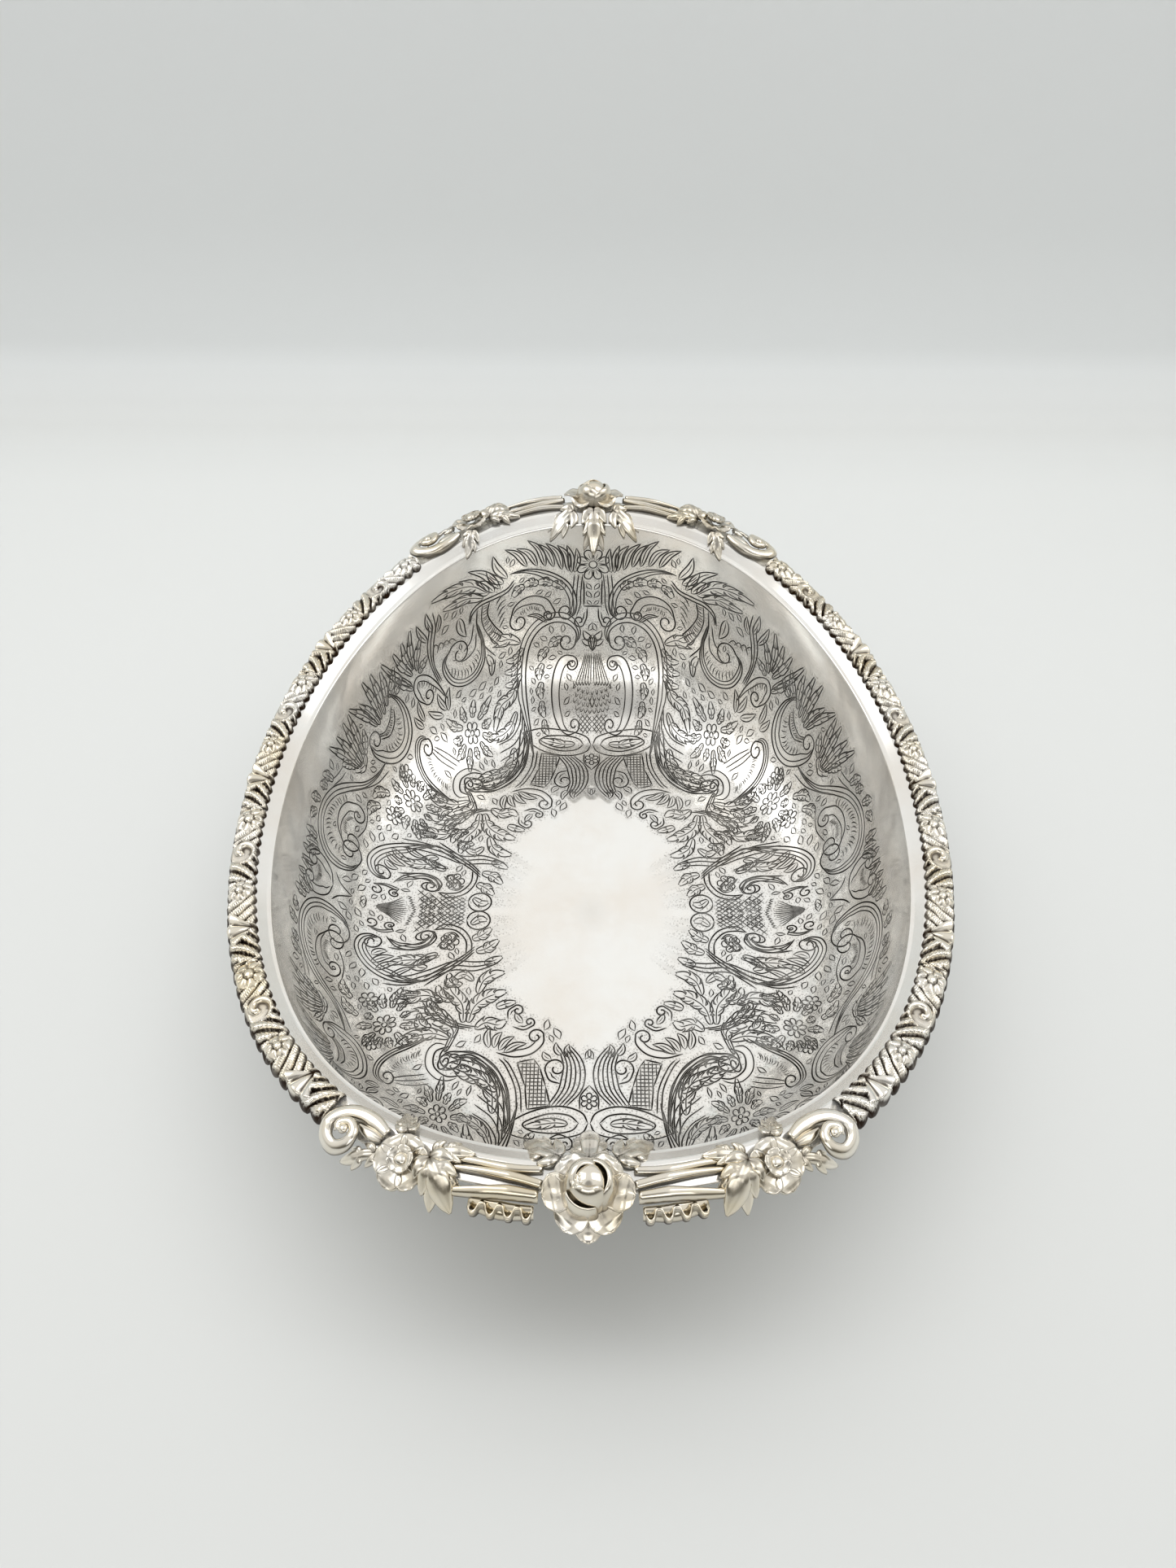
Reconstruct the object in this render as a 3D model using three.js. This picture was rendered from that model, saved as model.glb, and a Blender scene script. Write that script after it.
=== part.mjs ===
// Oval silver-plated table dish: a raised sheet bowl with a rounded wall that is low at its long
// sides and high at its ends, standing on a low foot ring. A cast foliate border is soldered along
// each long side, and a cast garland (rose, leaves, reeds, flowers and scrolls) crowns each end.
// Millimetres, +Z up. The origin is on the table, under the middle of the dish.
// +Y runs along the dish's length, +X across it.

import * as THREE from 'three';

// Driving dimensions.
const RIM_HALF_WIDTH = 125.4; // crest of the flange, across the dish
const RIM_HALF_LENGTH = 148.5; // crest of the flange, along the dish
const RIM_POWER = 2.17; // superellipse exponent of the plan, 2 is a true ellipse
const SIDE_RIM_RISE = 70.3; // crest above the inside floor, at the middle of a long side
const END_RIM_RISE = 97.9; // crest above the inside floor, at an end
const RIM_SWEEP_POWER = 2.94; // how late the rim sweeps up towards the ends
const FLOOR_HALF_WIDTH = 78; // edge of the flat floor
const FLOOR_HALF_LENGTH = 91;
const SHEET = 1.2; // thickness of the raised sheet
const FOOT_HEIGHT = 9;
const FOOT_WALL = 1.7;
const FOOT_LIP = 3; // how far the foot ring's lower edge spreads
const FLANGE_IN = 4.9; // flange crest to the edge of the bowl
const FLANGE_IN_DROP = 3.5;
const FLANGE_OUT = 8; // flange crest to the sheet's outer edge
const FLANGE_SLOPE = 0.16; // fall for each millimetre outwards
const DROOP_START = 9.5; // past this offset the castings bend down
const DROOP_SLOPE = 0.55;
const SOLDER_GAP = 0.3;
const BORDER_WIDTH = 9.9;
const BORDER_RISE = 3.4;
const BORDER_START = 81; // rim length from an end's middle to the side border
const BORDER_SECTIONS = 4;
const ROSE_HALF_WIDTH = 14.4;
const ROSE_HALF_DEPTH = 13.4;
const ROSE_RISE = 12.5;
const ROSE_CENTRE_OUT = 5.6;

const AROUND = 64; // points round the bowl
const FLOOR_Z = FOOT_HEIGHT + SHEET;

const finishes = {
  bowl: { color: 0xcfd0cc, roughness: 0.12, metalness: 1 },
  border: { color: 0xb9b2a2, roughness: 0.3, metalness: 1 },
  garland: { color: 0xc2bdae, roughness: 0.25, metalness: 1 },
  rose: { color: 0xb7a888, roughness: 0.3, metalness: 1 },
};

const dish = new THREE.Group();

function addPiece(name, geometry, finish) {
  const mesh = new THREE.Mesh(geometry, new THREE.MeshStandardMaterial(finishes[finish]));
  mesh.name = name;
  dish.add(mesh);
}

// ---- solids from loops of points ------------------------------------------------------------

function solidFrom(points, faces) {
  let volume = 0;
  const cross = new THREE.Vector3();
  for (let i = 0; i < faces.length; i += 3) {
    cross.crossVectors(points[faces[i + 1]], points[faces[i + 2]]);
    volume += points[faces[i]].dot(cross);
  }
  if (volume < 0) faces.reverse();
  const geometry = new THREE.BufferGeometry().setFromPoints(points);
  geometry.setIndex(faces);
  geometry.computeVertexNormals();
  return geometry;
}

// Two neighbouring loops of the same count, joined by a band of triangles.
function band(faces, count, first, second) {
  for (let i = 0; i < count; i += 1) {
    const next = (i + 1) % count;
    faces.push(first * count + i, first * count + next, second * count + next);
    faces.push(first * count + i, second * count + next, second * count + i);
  }
}

// A closed skin over loops of points that shrinks to a single point at each end.
function skinBetween(startPoint, loops, endPoint) {
  const count = loops[0].length;
  const points = loops.flat();
  const faces = [];
  for (let k = 0; k + 1 < loops.length; k += 1) band(faces, count, k, k + 1);
  points.push(startPoint, endPoint);
  const startIndex = points.length - 2;
  const endIndex = points.length - 1;
  const last = (loops.length - 1) * count;
  for (let i = 0; i < count; i += 1) {
    const next = (i + 1) % count;
    faces.push(next, i, startIndex);
    faces.push(last + i, last + next, endIndex);
  }
  return solidFrom(points, faces);
}

// A bar made of cross-sections, its two ends capped flat. outline is one section in the plane.
function barBetween(sections, outline) {
  const count = sections[0].length;
  const faces = [];
  for (let k = 0; k + 1 < sections.length; k += 1) band(faces, count, k, k + 1);
  const last = (sections.length - 1) * count;
  const outlineArea = THREE.ShapeUtils.area(outline);
  for (const triangle of THREE.ShapeUtils.triangulateShape(outline, [])) {
    const area = THREE.ShapeUtils.area(triangle.map((i) => outline[i]));
    const [a, b, c] = area * outlineArea > 0 ? triangle : triangle.reverse();
    faces.push(c, b, a);
    faces.push(last + a, last + b, last + c);
  }
  return solidFrom(sections.flat(), faces);
}

// A ring whose last section joins its first.
function ringOf(sections) {
  const faces = [];
  for (let k = 0; k < sections.length; k += 1) {
    band(faces, sections[0].length, k, (k + 1) % sections.length);
  }
  return solidFrom(sections.flat(), faces);
}

// ---- the dish's plan and rim ----------------------------------------------------------------

const lift = (value, power) => Math.sign(value) * Math.abs(value) ** power;

// A point on the oval plan, at a turn angle from +X.
function ovalPoint(angle, halfWidth, halfLength) {
  const power = 2 / RIM_POWER;
  return [halfWidth * lift(Math.cos(angle), power), halfLength * lift(Math.sin(angle), power)];
}

function rimRise(y) {
  const reach = Math.min(1, Math.abs(y) / RIM_HALF_LENGTH);
  return SIDE_RIM_RISE + (END_RIM_RISE - SIDE_RIM_RISE) * reach ** RIM_SWEEP_POWER;
}

// Length along the rim's crest in plan, summed over a quarter turn from the end's middle.
const QUARTER_STEPS = 600;
const quarter = [{ length: 0, x: 0, y: RIM_HALF_LENGTH }];
for (let i = 1; i <= QUARTER_STEPS; i += 1) {
  const angle = (Math.PI / 2) * (1 - i / QUARTER_STEPS);
  const [x, y] = ovalPoint(angle, RIM_HALF_WIDTH, RIM_HALF_LENGTH);
  const before = quarter[i - 1];
  quarter.push({ length: before.length + Math.hypot(x - before.x, y - before.y), x, y });
}
const QUARTER_LENGTH = quarter[QUARTER_STEPS].length;

// Where a rim length lies: from the middle of the back end, positive towards +X.
function alongRim(length) {
  const whole = Math.abs(length);
  const folded = whole > QUARTER_LENGTH ? 2 * QUARTER_LENGTH - whole : whole;
  let i = 1;
  while (i < QUARTER_STEPS && quarter[i].length < folded) i += 1;
  const share = (folded - quarter[i - 1].length) / (quarter[i].length - quarter[i - 1].length);
  const x = quarter[i - 1].x + (quarter[i].x - quarter[i - 1].x) * share;
  const y = quarter[i - 1].y + (quarter[i].y - quarter[i - 1].y) * share;
  const outX = (x / RIM_HALF_WIDTH) ** (RIM_POWER - 1) / RIM_HALF_WIDTH;
  const outY = (y / RIM_HALF_LENGTH) ** (RIM_POWER - 1) / RIM_HALF_LENGTH;
  const size = Math.hypot(outX, outY);
  const across = length < 0 ? -1 : 1;
  const ahead = whole > QUARTER_LENGTH ? -1 : 1;
  return { x: across * x, y: ahead * y, outX: (across * outX) / size, outY: (ahead * outY) / size };
}

// Height of the flange's upper face against the crest, at an offset outwards.
function flangeFall(out) {
  if (out < 0) return (-FLANGE_IN_DROP * Math.min(-out, FLANGE_IN)) / FLANGE_IN;
  const bend = Math.max(0, out - DROOP_START);
  return -FLANGE_SLOPE * out - DROOP_SLOPE * bend;
}

// A point on or over the flange: length along the rim, offset outwards, height over the flange.
function onRim(length, out, height, end = 1) {
  const at = alongRim(length);
  const x = at.x + at.outX * out;
  const y = at.y + at.outY * out;
  return new THREE.Vector3(x, end * y, FLOOR_Z + rimRise(at.y) + flangeFall(out) + height);
}

// ---- bowl and foot --------------------------------------------------------------------------

// The wall's profile from the floor's edge (0, 0) to the flange (1, 1): close to a quarter oval.
const wallProfile = new THREE.CubicBezierCurve(
  new THREE.Vector2(0, 0),
  new THREE.Vector2(0.55, 0),
  new THREE.Vector2(0.98, 0.43),
  new THREE.Vector2(1, 1),
);
const WALL_STEPS = 8;

function wallPoint(angle, step) {
  const share = wallProfile.getPoint(step / WALL_STEPS);
  const topWidth = RIM_HALF_WIDTH - FLANGE_IN;
  const topLength = RIM_HALF_LENGTH - FLANGE_IN;
  const halfWidth = FLOOR_HALF_WIDTH + (topWidth - FLOOR_HALF_WIDTH) * share.x;
  const halfLength = FLOOR_HALF_LENGTH + (topLength - FLOOR_HALF_LENGTH) * share.x;
  const [x, y] = ovalPoint(angle, halfWidth, halfLength);
  const crestY = ovalPoint(angle, RIM_HALF_WIDTH, RIM_HALF_LENGTH)[1];
  return new THREE.Vector3(x, y, FLOOR_Z + (rimRise(crestY) - FLANGE_IN_DROP) * share.y);
}

function flangePoint(angle, out) {
  const [x, y] = ovalPoint(angle, RIM_HALF_WIDTH + out, RIM_HALF_LENGTH + out);
  const crestY = ovalPoint(angle, RIM_HALF_WIDTH, RIM_HALF_LENGTH)[1];
  return new THREE.Vector3(x, y, FLOOR_Z + rimRise(crestY) + flangeFall(out));
}

function insidePoint(angle, row) {
  if (row <= WALL_STEPS) return wallPoint(angle, row);
  return flangePoint(angle, row === WALL_STEPS + 1 ? 0 : FLANGE_OUT);
}

// The underside: each point of the upper face, moved down its own normal by the sheet.
function outsidePoint(angle, row) {
  const turn = 0.01;
  const here = insidePoint(angle, row);
  const along = insidePoint(angle + turn, row).sub(insidePoint(angle - turn, row));
  const lower = insidePoint(angle, Math.max(row - 1, 0));
  const upper = insidePoint(angle, Math.min(row + 1, WALL_STEPS + 2));
  const normal = along.cross(upper.sub(lower)).normalize();
  if (normal.z > 0) normal.negate();
  if (row === 0) normal.set(0, 0, -1);
  return here.addScaledVector(normal, SHEET);
}

function bowlBody() {
  const angles = Array.from({ length: AROUND }, (_, i) => (2 * Math.PI * i) / AROUND);
  const rows = Array.from({ length: WALL_STEPS + 3 }, (_, row) => row);
  const inside = rows.map((row) => angles.map((angle) => insidePoint(angle, row)));
  const outside = rows.map((row) => angles.map((angle) => outsidePoint(angle, row))).reverse();
  const top = new THREE.Vector3(0, 0, FLOOR_Z);
  const bottom = new THREE.Vector3(0, 0, FOOT_HEIGHT);
  return skinBetween(top, [...inside, ...outside], bottom);
}

// The foot's wall, as offsets from its upper edge and heights, outside first.
function footRing() {
  const top = FOOT_HEIGHT - SOLDER_GAP;
  const profile = [
    [0, top],
    [0.2, 3.2],
    [FOOT_LIP, 1.2],
    [FOOT_LIP, 0],
    [FOOT_LIP - FOOT_WALL - 0.8, 0],
    [0.2 - FOOT_WALL, 2.6],
    [-FOOT_WALL, top],
  ];
  const sections = Array.from({ length: AROUND }, (_, i) => {
    const angle = (2 * Math.PI * i) / AROUND;
    return profile.map(([out, height]) => {
      const halfWidth = FLOOR_HALF_WIDTH - 2 + out;
      const halfLength = FLOOR_HALF_LENGTH - 2 + out;
      return new THREE.Vector3(...ovalPoint(angle, halfWidth, halfLength), height);
    });
  });
  return ringOf(sections);
}

addPiece('bowl_body', bowlBody(), 'bowl');
addPiece('foot_ring', footRing(), 'bowl');

// ---- cast side border -----------------------------------------------------------------------

// One length of domed foliate strip that hooks over the sheet's edge. The dome swells at each
// flower and the outer edge is scalloped.
function borderSection(from, to) {
  const steps = 12;
  const scallops = 6;
  const profile = (swell, scallop) => [
    [0.3, 1.2],
    [2.4, BORDER_RISE * (0.8 + 0.2 * swell)],
    [5.6, BORDER_RISE * (1 + 0.25 * swell)],
    [8.4, BORDER_RISE * 0.62],
    [BORDER_WIDTH + scallop, 0],
    [BORDER_WIDTH + scallop, -2.2],
    [FLANGE_OUT + 0.5, -2.2],
    [FLANGE_OUT + 0.5, SOLDER_GAP],
    [0.3, SOLDER_GAP],
  ];
  const sections = [];
  for (let k = 0; k <= steps; k += 1) {
    const share = k / steps;
    const swell = Math.cos(4 * Math.PI * share);
    const scallop = -0.8 * Math.abs(Math.cos(scallops * Math.PI * share));
    const length = from + (to - from) * share;
    sections.push(profile(swell, scallop).map(([out, height]) => onRim(length, out, height)));
  }
  return barBetween(sections, profile(0, 0).map(([out, height]) => new THREE.Vector2(out, height)));
}

const borderLength = 2 * (QUARTER_LENGTH - BORDER_START);
for (const [side, sign] of [['right', 1], ['left', -1]]) {
  for (let i = 0; i < BORDER_SECTIONS; i += 1) {
    const from = BORDER_START + (borderLength * i) / BORDER_SECTIONS + SOLDER_GAP / 2;
    const to = BORDER_START + (borderLength * (i + 1)) / BORDER_SECTIONS - SOLDER_GAP / 2;
    addPiece(`border_${side}_${i + 1}`, borderSection(sign * from, sign * to), 'border');
  }
}

// ---- cast garland at each end ---------------------------------------------------------------

// A casting that lies on the flange: its outline in rim coordinates, drawn in towards a centre
// in steps while it rises to its crown. Its back is flat, at the given height over the flange.
function moundedCasting(outline, centre, back, edge, crown, toRim) {
  const steps = [[0, edge], [0.25, edge + 0.55 * (crown - edge)], [0.6, edge + 0.88 * (crown - edge)]];
  const place = ([length, out], share, height) => toRim(
    length + (centre[0] - length) * share,
    out + (centre[1] - out) * share,
    height,
  );
  const loops = [
    outline.map((point) => place(point, 0.5, back)),
    outline.map((point) => place(point, 0, back)),
    ...steps.map(([share, height]) => outline.map((point) => place(point, share, height))),
  ];
  return skinBetween(toRim(...centre, back), loops, toRim(...centre, crown));
}

// A round outline whose radius swells once for each petal.
function petalOutline(centre, halfWidth, halfDepth, petals, depth, turn, count) {
  return Array.from({ length: count }, (_, i) => {
    const angle = (2 * Math.PI * i) / count;
    const swell = 1 - depth + depth * Math.abs(Math.cos((petals * angle) / 2 + turn));
    return [
      centre[0] + halfWidth * swell * Math.cos(angle),
      centre[1] + halfDepth * swell * Math.sin(angle),
    ];
  });
}

// A leaf's outline from its root to its tip, widest before the middle, with a toothed edge.
function leafOutline(root, tip, halfWidth, teeth) {
  const along = [tip[0] - root[0], tip[1] - root[1]];
  const size = Math.hypot(...along);
  const across = [-along[1] / size, along[0] / size];
  const steps = 2 * teeth;
  const edge = (sign) => Array.from({ length: steps }, (_, i) => {
    const share = (i + (sign > 0 ? 0 : 1)) / steps;
    const tooth = (sign > 0 ? i : i + 1) % 2 === 0 ? 0.82 : 1;
    const width = sign * halfWidth * tooth * Math.sin(Math.PI * share ** 0.8) ** 0.8;
    return [root[0] + along[0] * share + across[0] * width, root[1] + along[1] * share + across[1] * width];
  });
  return [...edge(1), ...edge(-1).reverse()];
}

function roseBloom(toRim) {
  const centre = [0, ROSE_CENTRE_OUT];
  const ring = (share, turn) => petalOutline(
    centre,
    ROSE_HALF_WIDTH * share,
    ROSE_HALF_DEPTH * share,
    5,
    0.1,
    turn,
    30,
  );
  const place = (outline, height) => outline.map(([length, out]) => toRim(length, out, height));
  const back = 2.3;
  const loops = [
    place(ring(0.5, 0), back),
    place(ring(0.97, 0), back + 1),
    place(ring(1, 0), back + 2.2),
    place(ring(0.8, 0), back + 3.6),
    place(ring(0.68, 0.6), back + 5.6),
    place(ring(0.5, 0.6), back + 6.2),
    place(ring(0.34, 0), ROSE_RISE - 1.6),
    place(ring(0.16, 0), ROSE_RISE - 0.2),
  ];
  return skinBetween(toRim(...centre, back), loops, toRim(...centre, ROSE_RISE));
}

// Two reeds side by side, cast as one bar from the rose to the acanthus leaf.
function reedPair(sign, toRim) {
  const outline = [[1.6, 0.4], [2, 2.4], [3.4, 3], [4.8, 2.2], [6, 1.6], [7.4, 3.4], [9, 3.8], [10.4, 2.2], [10.6, 0.5]];
  const steps = 6;
  const from = 15.6;
  const to = 30.4;
  const sections = [];
  for (let k = 0; k <= steps; k += 1) {
    const length = sign * (from + ((to - from) * k) / steps);
    sections.push(outline.map(([out, height]) => toRim(length, out, height)));
  }
  return barBetween(sections, outline.map(([out, height]) => new THREE.Vector2(out, height)));
}

// A waved ribbon that stands outside the reeds and hangs below the flange.
function ruffle(sign, toRim) {
  const outline = [[0, 1.6], [1.2, 1.6], [1, -4], [-0.2, -4]];
  const steps = 21;
  const waves = 3.5;
  const sections = [];
  for (let k = 0; k <= steps; k += 1) {
    const share = k / steps;
    const out = 13 + 1.7 * Math.cos(2 * Math.PI * waves * share);
    const length = sign * (16.4 + 13.4 * share);
    sections.push(outline.map(([shift, height]) => toRim(length, out + shift, height)));
  }
  return barBetween(sections, outline.map(([shift, height]) => new THREE.Vector2(shift, height)));
}

const ACANTHUS = [
  [45.2, 4.4], [42, 2.2], [38, 1], [33.6, 0.5], [35.4, 1.8], [37, 3], [32.6, 3.6], [31, 6.6],
  [34.4, 8], [31.2, 11.4], [31.4, 15.6], [34.6, 13.6], [35.4, 18.4], [38.6, 17.6], [39, 13.8],
  [42.4, 14], [43.6, 10.4],
];
const SCROLL = [
  [60.6, 7], [62, 4], [65, 1.8], [69, 0.7], [73.6, 1], [77.4, 3.4], [79.6, 7], [78.6, 10.8],
  [75.2, 13.6], [70.6, 14.6], [66, 13.8], [63, 11.4],
];

function placeOutline(outline, sign) {
  return outline.map(([length, out]) => [sign * length, out]);
}

function addGarland(endName, end) {
  const toRim = (length, out, height) => onRim(length, out, height, end);
  const add = (name, geometry, finish = 'garland') => addPiece(`${name}_${endName}`, geometry, finish);
  add('rose_bloom', roseBloom(toRim), 'rose');
  const middle = leafOutline([0, -0.8], [0, -17.2], 5.2, 4);
  add('rose_leaf_middle', moundedCasting(middle, [0, -8], 0.4, 1, 1.8, toRim));
  for (const [side, sign] of [['right', 1], ['left', -1]]) {
    const cast = (outline, centre, back, edge, crown) => moundedCasting(
      placeOutline(outline, sign),
      [sign * centre[0], centre[1]],
      back,
      edge,
      crown,
      toRim,
    );
    const roseLeaf = leafOutline([10, -2], [22, -8.5], 3.4, 4);
    add(`rose_leaf_${side}`, cast(roseLeaf, [16, -5.3], 0.4, 1, 1.8));
    add(`reed_pair_${side}`, reedPair(sign, toRim));
    add(`ruffle_${side}`, ruffle(sign, toRim));
    add(`acanthus_${side}`, cast(ACANTHUS, [38.6, 8], 0.4, 1.4, 4.4));
    const flower = petalOutline([52.8, 9], 7.3, 7.6, 5, 0.2, 0.4, 20);
    add(`flower_${side}`, cast(flower, [52.8, 9], 0.4, 2, 6.5));
    const leaf = leafOutline([53.6, -1.6], [60.8, -5.4], 2, 3);
    add(`flower_leaf_${side}`, cast(leaf, [57, -3.6], 0.4, 1, 1.8));
    add(`scroll_${side}`, cast(SCROLL, [70.4, 7.4], 0.4, 2.4, 5.6));
  }
}

addGarland('back', 1);
addGarland('front', -1);

export default dish;
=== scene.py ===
import math
import random

import bpy
import numpy as np
from mathutils import Matrix, Vector
from mathutils.kdtree import KDTree


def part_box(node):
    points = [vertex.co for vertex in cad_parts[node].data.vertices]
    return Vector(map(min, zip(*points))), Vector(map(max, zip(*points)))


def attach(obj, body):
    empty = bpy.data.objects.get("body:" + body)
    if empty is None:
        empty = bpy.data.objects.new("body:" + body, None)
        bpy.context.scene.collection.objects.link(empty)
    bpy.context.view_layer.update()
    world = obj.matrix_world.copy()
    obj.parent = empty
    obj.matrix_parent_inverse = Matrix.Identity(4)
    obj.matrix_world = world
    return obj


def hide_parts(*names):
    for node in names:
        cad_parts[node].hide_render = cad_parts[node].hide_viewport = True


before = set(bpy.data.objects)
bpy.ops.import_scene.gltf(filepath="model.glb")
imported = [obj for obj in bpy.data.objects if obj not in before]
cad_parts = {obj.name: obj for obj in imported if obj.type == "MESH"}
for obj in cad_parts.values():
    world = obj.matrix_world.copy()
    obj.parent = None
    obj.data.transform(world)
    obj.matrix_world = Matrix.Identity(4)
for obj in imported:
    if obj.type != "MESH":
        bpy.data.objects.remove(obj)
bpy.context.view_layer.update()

# ---- The dish's shape ------------------------------------------------------------------------
# One sheet of nickel silver raised over a stake into an oval boat, then silver plated and
# polished: a flat floor, a rounded wall and a flange that sweeps up at the ends. Every casting
# and every chased line is placed on this shape. Lengths in this file are millimetres.

MM = 0.001
RIM_POWER = 2.17  # superellipse exponent of the plan, 2 is a true ellipse
RIM_SWEEP_POWER = 2.94
RIM_SWEEP = 27.6  # how much higher the rim is at an end than at a side
FLANGE_IN = 4.9  # flange crest to the bowl's upper edge
FLANGE_IN_DROP = 3.5
FLANGE_SLOPE = 0.16
FLANGE_OUT = 8.0
DROOP_START = 9.5
DROOP_SLOPE = 0.55
SHEET = 1.2
bowl_low, bowl_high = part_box("bowl_body")
foot_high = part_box("foot_ring")[1]
FLOOR_Z = bowl_low.z / MM + SHEET
CREST_X = bowl_high.x / MM - FLANGE_OUT
CREST_Y = bowl_high.y / MM - FLANGE_OUT
END_RISE = bowl_high.z / MM - FLOOR_Z
SIDE_RISE = END_RISE - RIM_SWEEP
FLOOR_X = foot_high.x / MM - 1
FLOOR_Y = foot_high.y / MM - 1


def lift(value, power):
    return np.sign(value) * np.abs(value) ** power


def oval(angle, half_width, half_length):
    power = 2 / RIM_POWER
    return half_width * lift(np.cos(angle), power), half_length * lift(np.sin(angle), power)


def rim_rise(y):
    reach = np.minimum(1, np.abs(y) / CREST_Y)
    return SIDE_RISE + (END_RISE - SIDE_RISE) * reach ** RIM_SWEEP_POWER


def wall_profile(share):
    """Out and up, from the floor's edge (0, 0) to the flange (1, 1): close to a quarter oval."""
    rest = 1 - share
    out = 1.65 * rest ** 2 * share + 2.94 * rest * share ** 2 + share ** 3
    return out, 1.29 * rest * share ** 2 + share ** 3


def bowl_at(angle, ring):
    """A point inside the bowl. ring is 0 at the floor's middle, 1 at its edge, 2 at the flange."""
    floor_share = np.minimum(ring, 1)
    out, up = wall_profile(np.clip(ring - 1, 0, 1))
    half_width = FLOOR_X * floor_share + (CREST_X - FLANGE_IN - FLOOR_X) * out
    half_length = FLOOR_Y * floor_share + (CREST_Y - FLANGE_IN - FLOOR_Y) * out
    x, y = oval(angle, half_width, half_length)
    crest_y = oval(angle, CREST_X, CREST_Y)[1]
    z = FLOOR_Z + (rim_rise(crest_y) - FLANGE_IN_DROP) * up
    return np.stack(np.broadcast_arrays(x, y, z), -1)


def flange_fall(out):
    inner = -FLANGE_IN_DROP * np.minimum(-out, FLANGE_IN) / FLANGE_IN
    outer = -FLANGE_SLOPE * out - DROOP_SLOPE * np.maximum(0, out - DROOP_START)
    return np.where(out < 0, inner, outer)


# Length along the rim's crest, over a quarter turn from the middle of an end to that of a side.
quarter_angles = np.linspace(math.pi / 2, 0, 4001)
quarter_x, quarter_y = oval(quarter_angles, CREST_X, CREST_Y)
quarter_lengths = np.concatenate(
    [[0], np.cumsum(np.hypot(np.diff(quarter_x), np.diff(quarter_y)))])
QUARTER = quarter_lengths[-1]


def on_rim(length, out, height):
    """A point over the flange: length along the rim from the back end's middle, positive to +X,
    offset outwards from the crest, and height over the flange."""
    length, out, height = (np.asarray(a, float) for a in (length, out, height))
    length = (length + 2 * QUARTER) % (4 * QUARTER) - 2 * QUARTER
    whole = np.abs(length)
    folded = np.where(whole > QUARTER, 2 * QUARTER - whole, whole)
    x = np.interp(folded, quarter_lengths, quarter_x)
    y = np.interp(folded, quarter_lengths, quarter_y)
    out_x = (np.abs(x) / CREST_X) ** (RIM_POWER - 1) / CREST_X
    out_y = (np.abs(y) / CREST_Y) ** (RIM_POWER - 1) / CREST_Y
    size = np.hypot(out_x, out_y)
    across = np.where(length < 0, -1, 1)
    ahead = np.where(whole > QUARTER, -1, 1)
    z = FLOOR_Z + rim_rise(y) + flange_fall(out) + height
    return np.stack([across * (x + out_x / size * out), ahead * (y + out_y / size * out), z], -1)


# ---- Chased pattern: drawing tools -----------------------------------------------------------
# The inside is flat chased by hand with hammer and small punches: furrows that outline scrolls,
# leaves, shells and diaper. One quarter of the dish is drawn and the rest mirrors it.
# Wall lines are drawn in (length along the rim, depth below the bowl's upper edge), and floor
# lines in plan.

furrows = []  # (points in space, half width) for each chased line
bodies = []  # (place, radius): leaves, bands and flowers, which the punched ground leaves clear
plain_spots = []  # (place, radius): polished parts of a motif that are left without matting
FURROW = 0.46  # usual half width of a chased line
FINE = 0.3
STEP = 1.1  # spacing of points along a line
wall_rings = np.linspace(2, 0, 240)


def wall_place(points):
    """Places on the bowl for points given as (rim length, depth)."""
    placed = []
    for length, depth in points:
        folded = QUARTER - abs(QUARTER - abs(length))
        angle = np.interp(folded, quarter_lengths, quarter_angles)
        column = bowl_at(angle, wall_rings)
        gaps = np.linalg.norm(np.diff(column, axis=0), axis=1)
        depths = np.concatenate([[0], np.cumsum(gaps)])
        spot = [np.interp(depth, depths, column[:, k]) for k in range(3)]
        spot[0] *= -1 if length < 0 else 1
        spot[1] *= -1 if abs(length) > QUARTER else 1
        placed.append(spot)
    return np.array(placed)


def ring_of(x, y):
    """Which ring of the bowl passes over a point of the plan."""
    low, high = np.zeros(np.shape(x)), np.full(np.shape(x), 2.0)
    for _ in range(22):
        middle = (low + high) / 2
        out = wall_profile(np.clip(middle - 1, 0, 1))[0]
        half_width = FLOOR_X * np.minimum(middle, 1) + (CREST_X - FLANGE_IN - FLOOR_X) * out
        half_length = FLOOR_Y * np.minimum(middle, 1) + (CREST_Y - FLANGE_IN - FLOOR_Y) * out
        reach = (np.abs(x) / half_width) ** RIM_POWER + (np.abs(y) / half_length) ** RIM_POWER
        low, high = np.where(reach > 1, middle, low), np.where(reach > 1, high, middle)
    return low


def floor_place(points):
    """Places on the bowl for points given in plan."""
    x, y = np.asarray(points, float).T
    ring = ring_of(x, y)
    up = wall_profile(np.clip(ring - 1, 0, 1))[1]
    power = RIM_POWER / 2
    angle = np.arctan2(lift(y / FLOOR_Y, power), lift(x / FLOOR_X, power))
    crest_y = oval(angle, CREST_X, CREST_Y)[1]
    return np.stack([x, y, FLOOR_Z + (rim_rise(crest_y) - FLANGE_IN_DROP) * up], -1)


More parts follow.
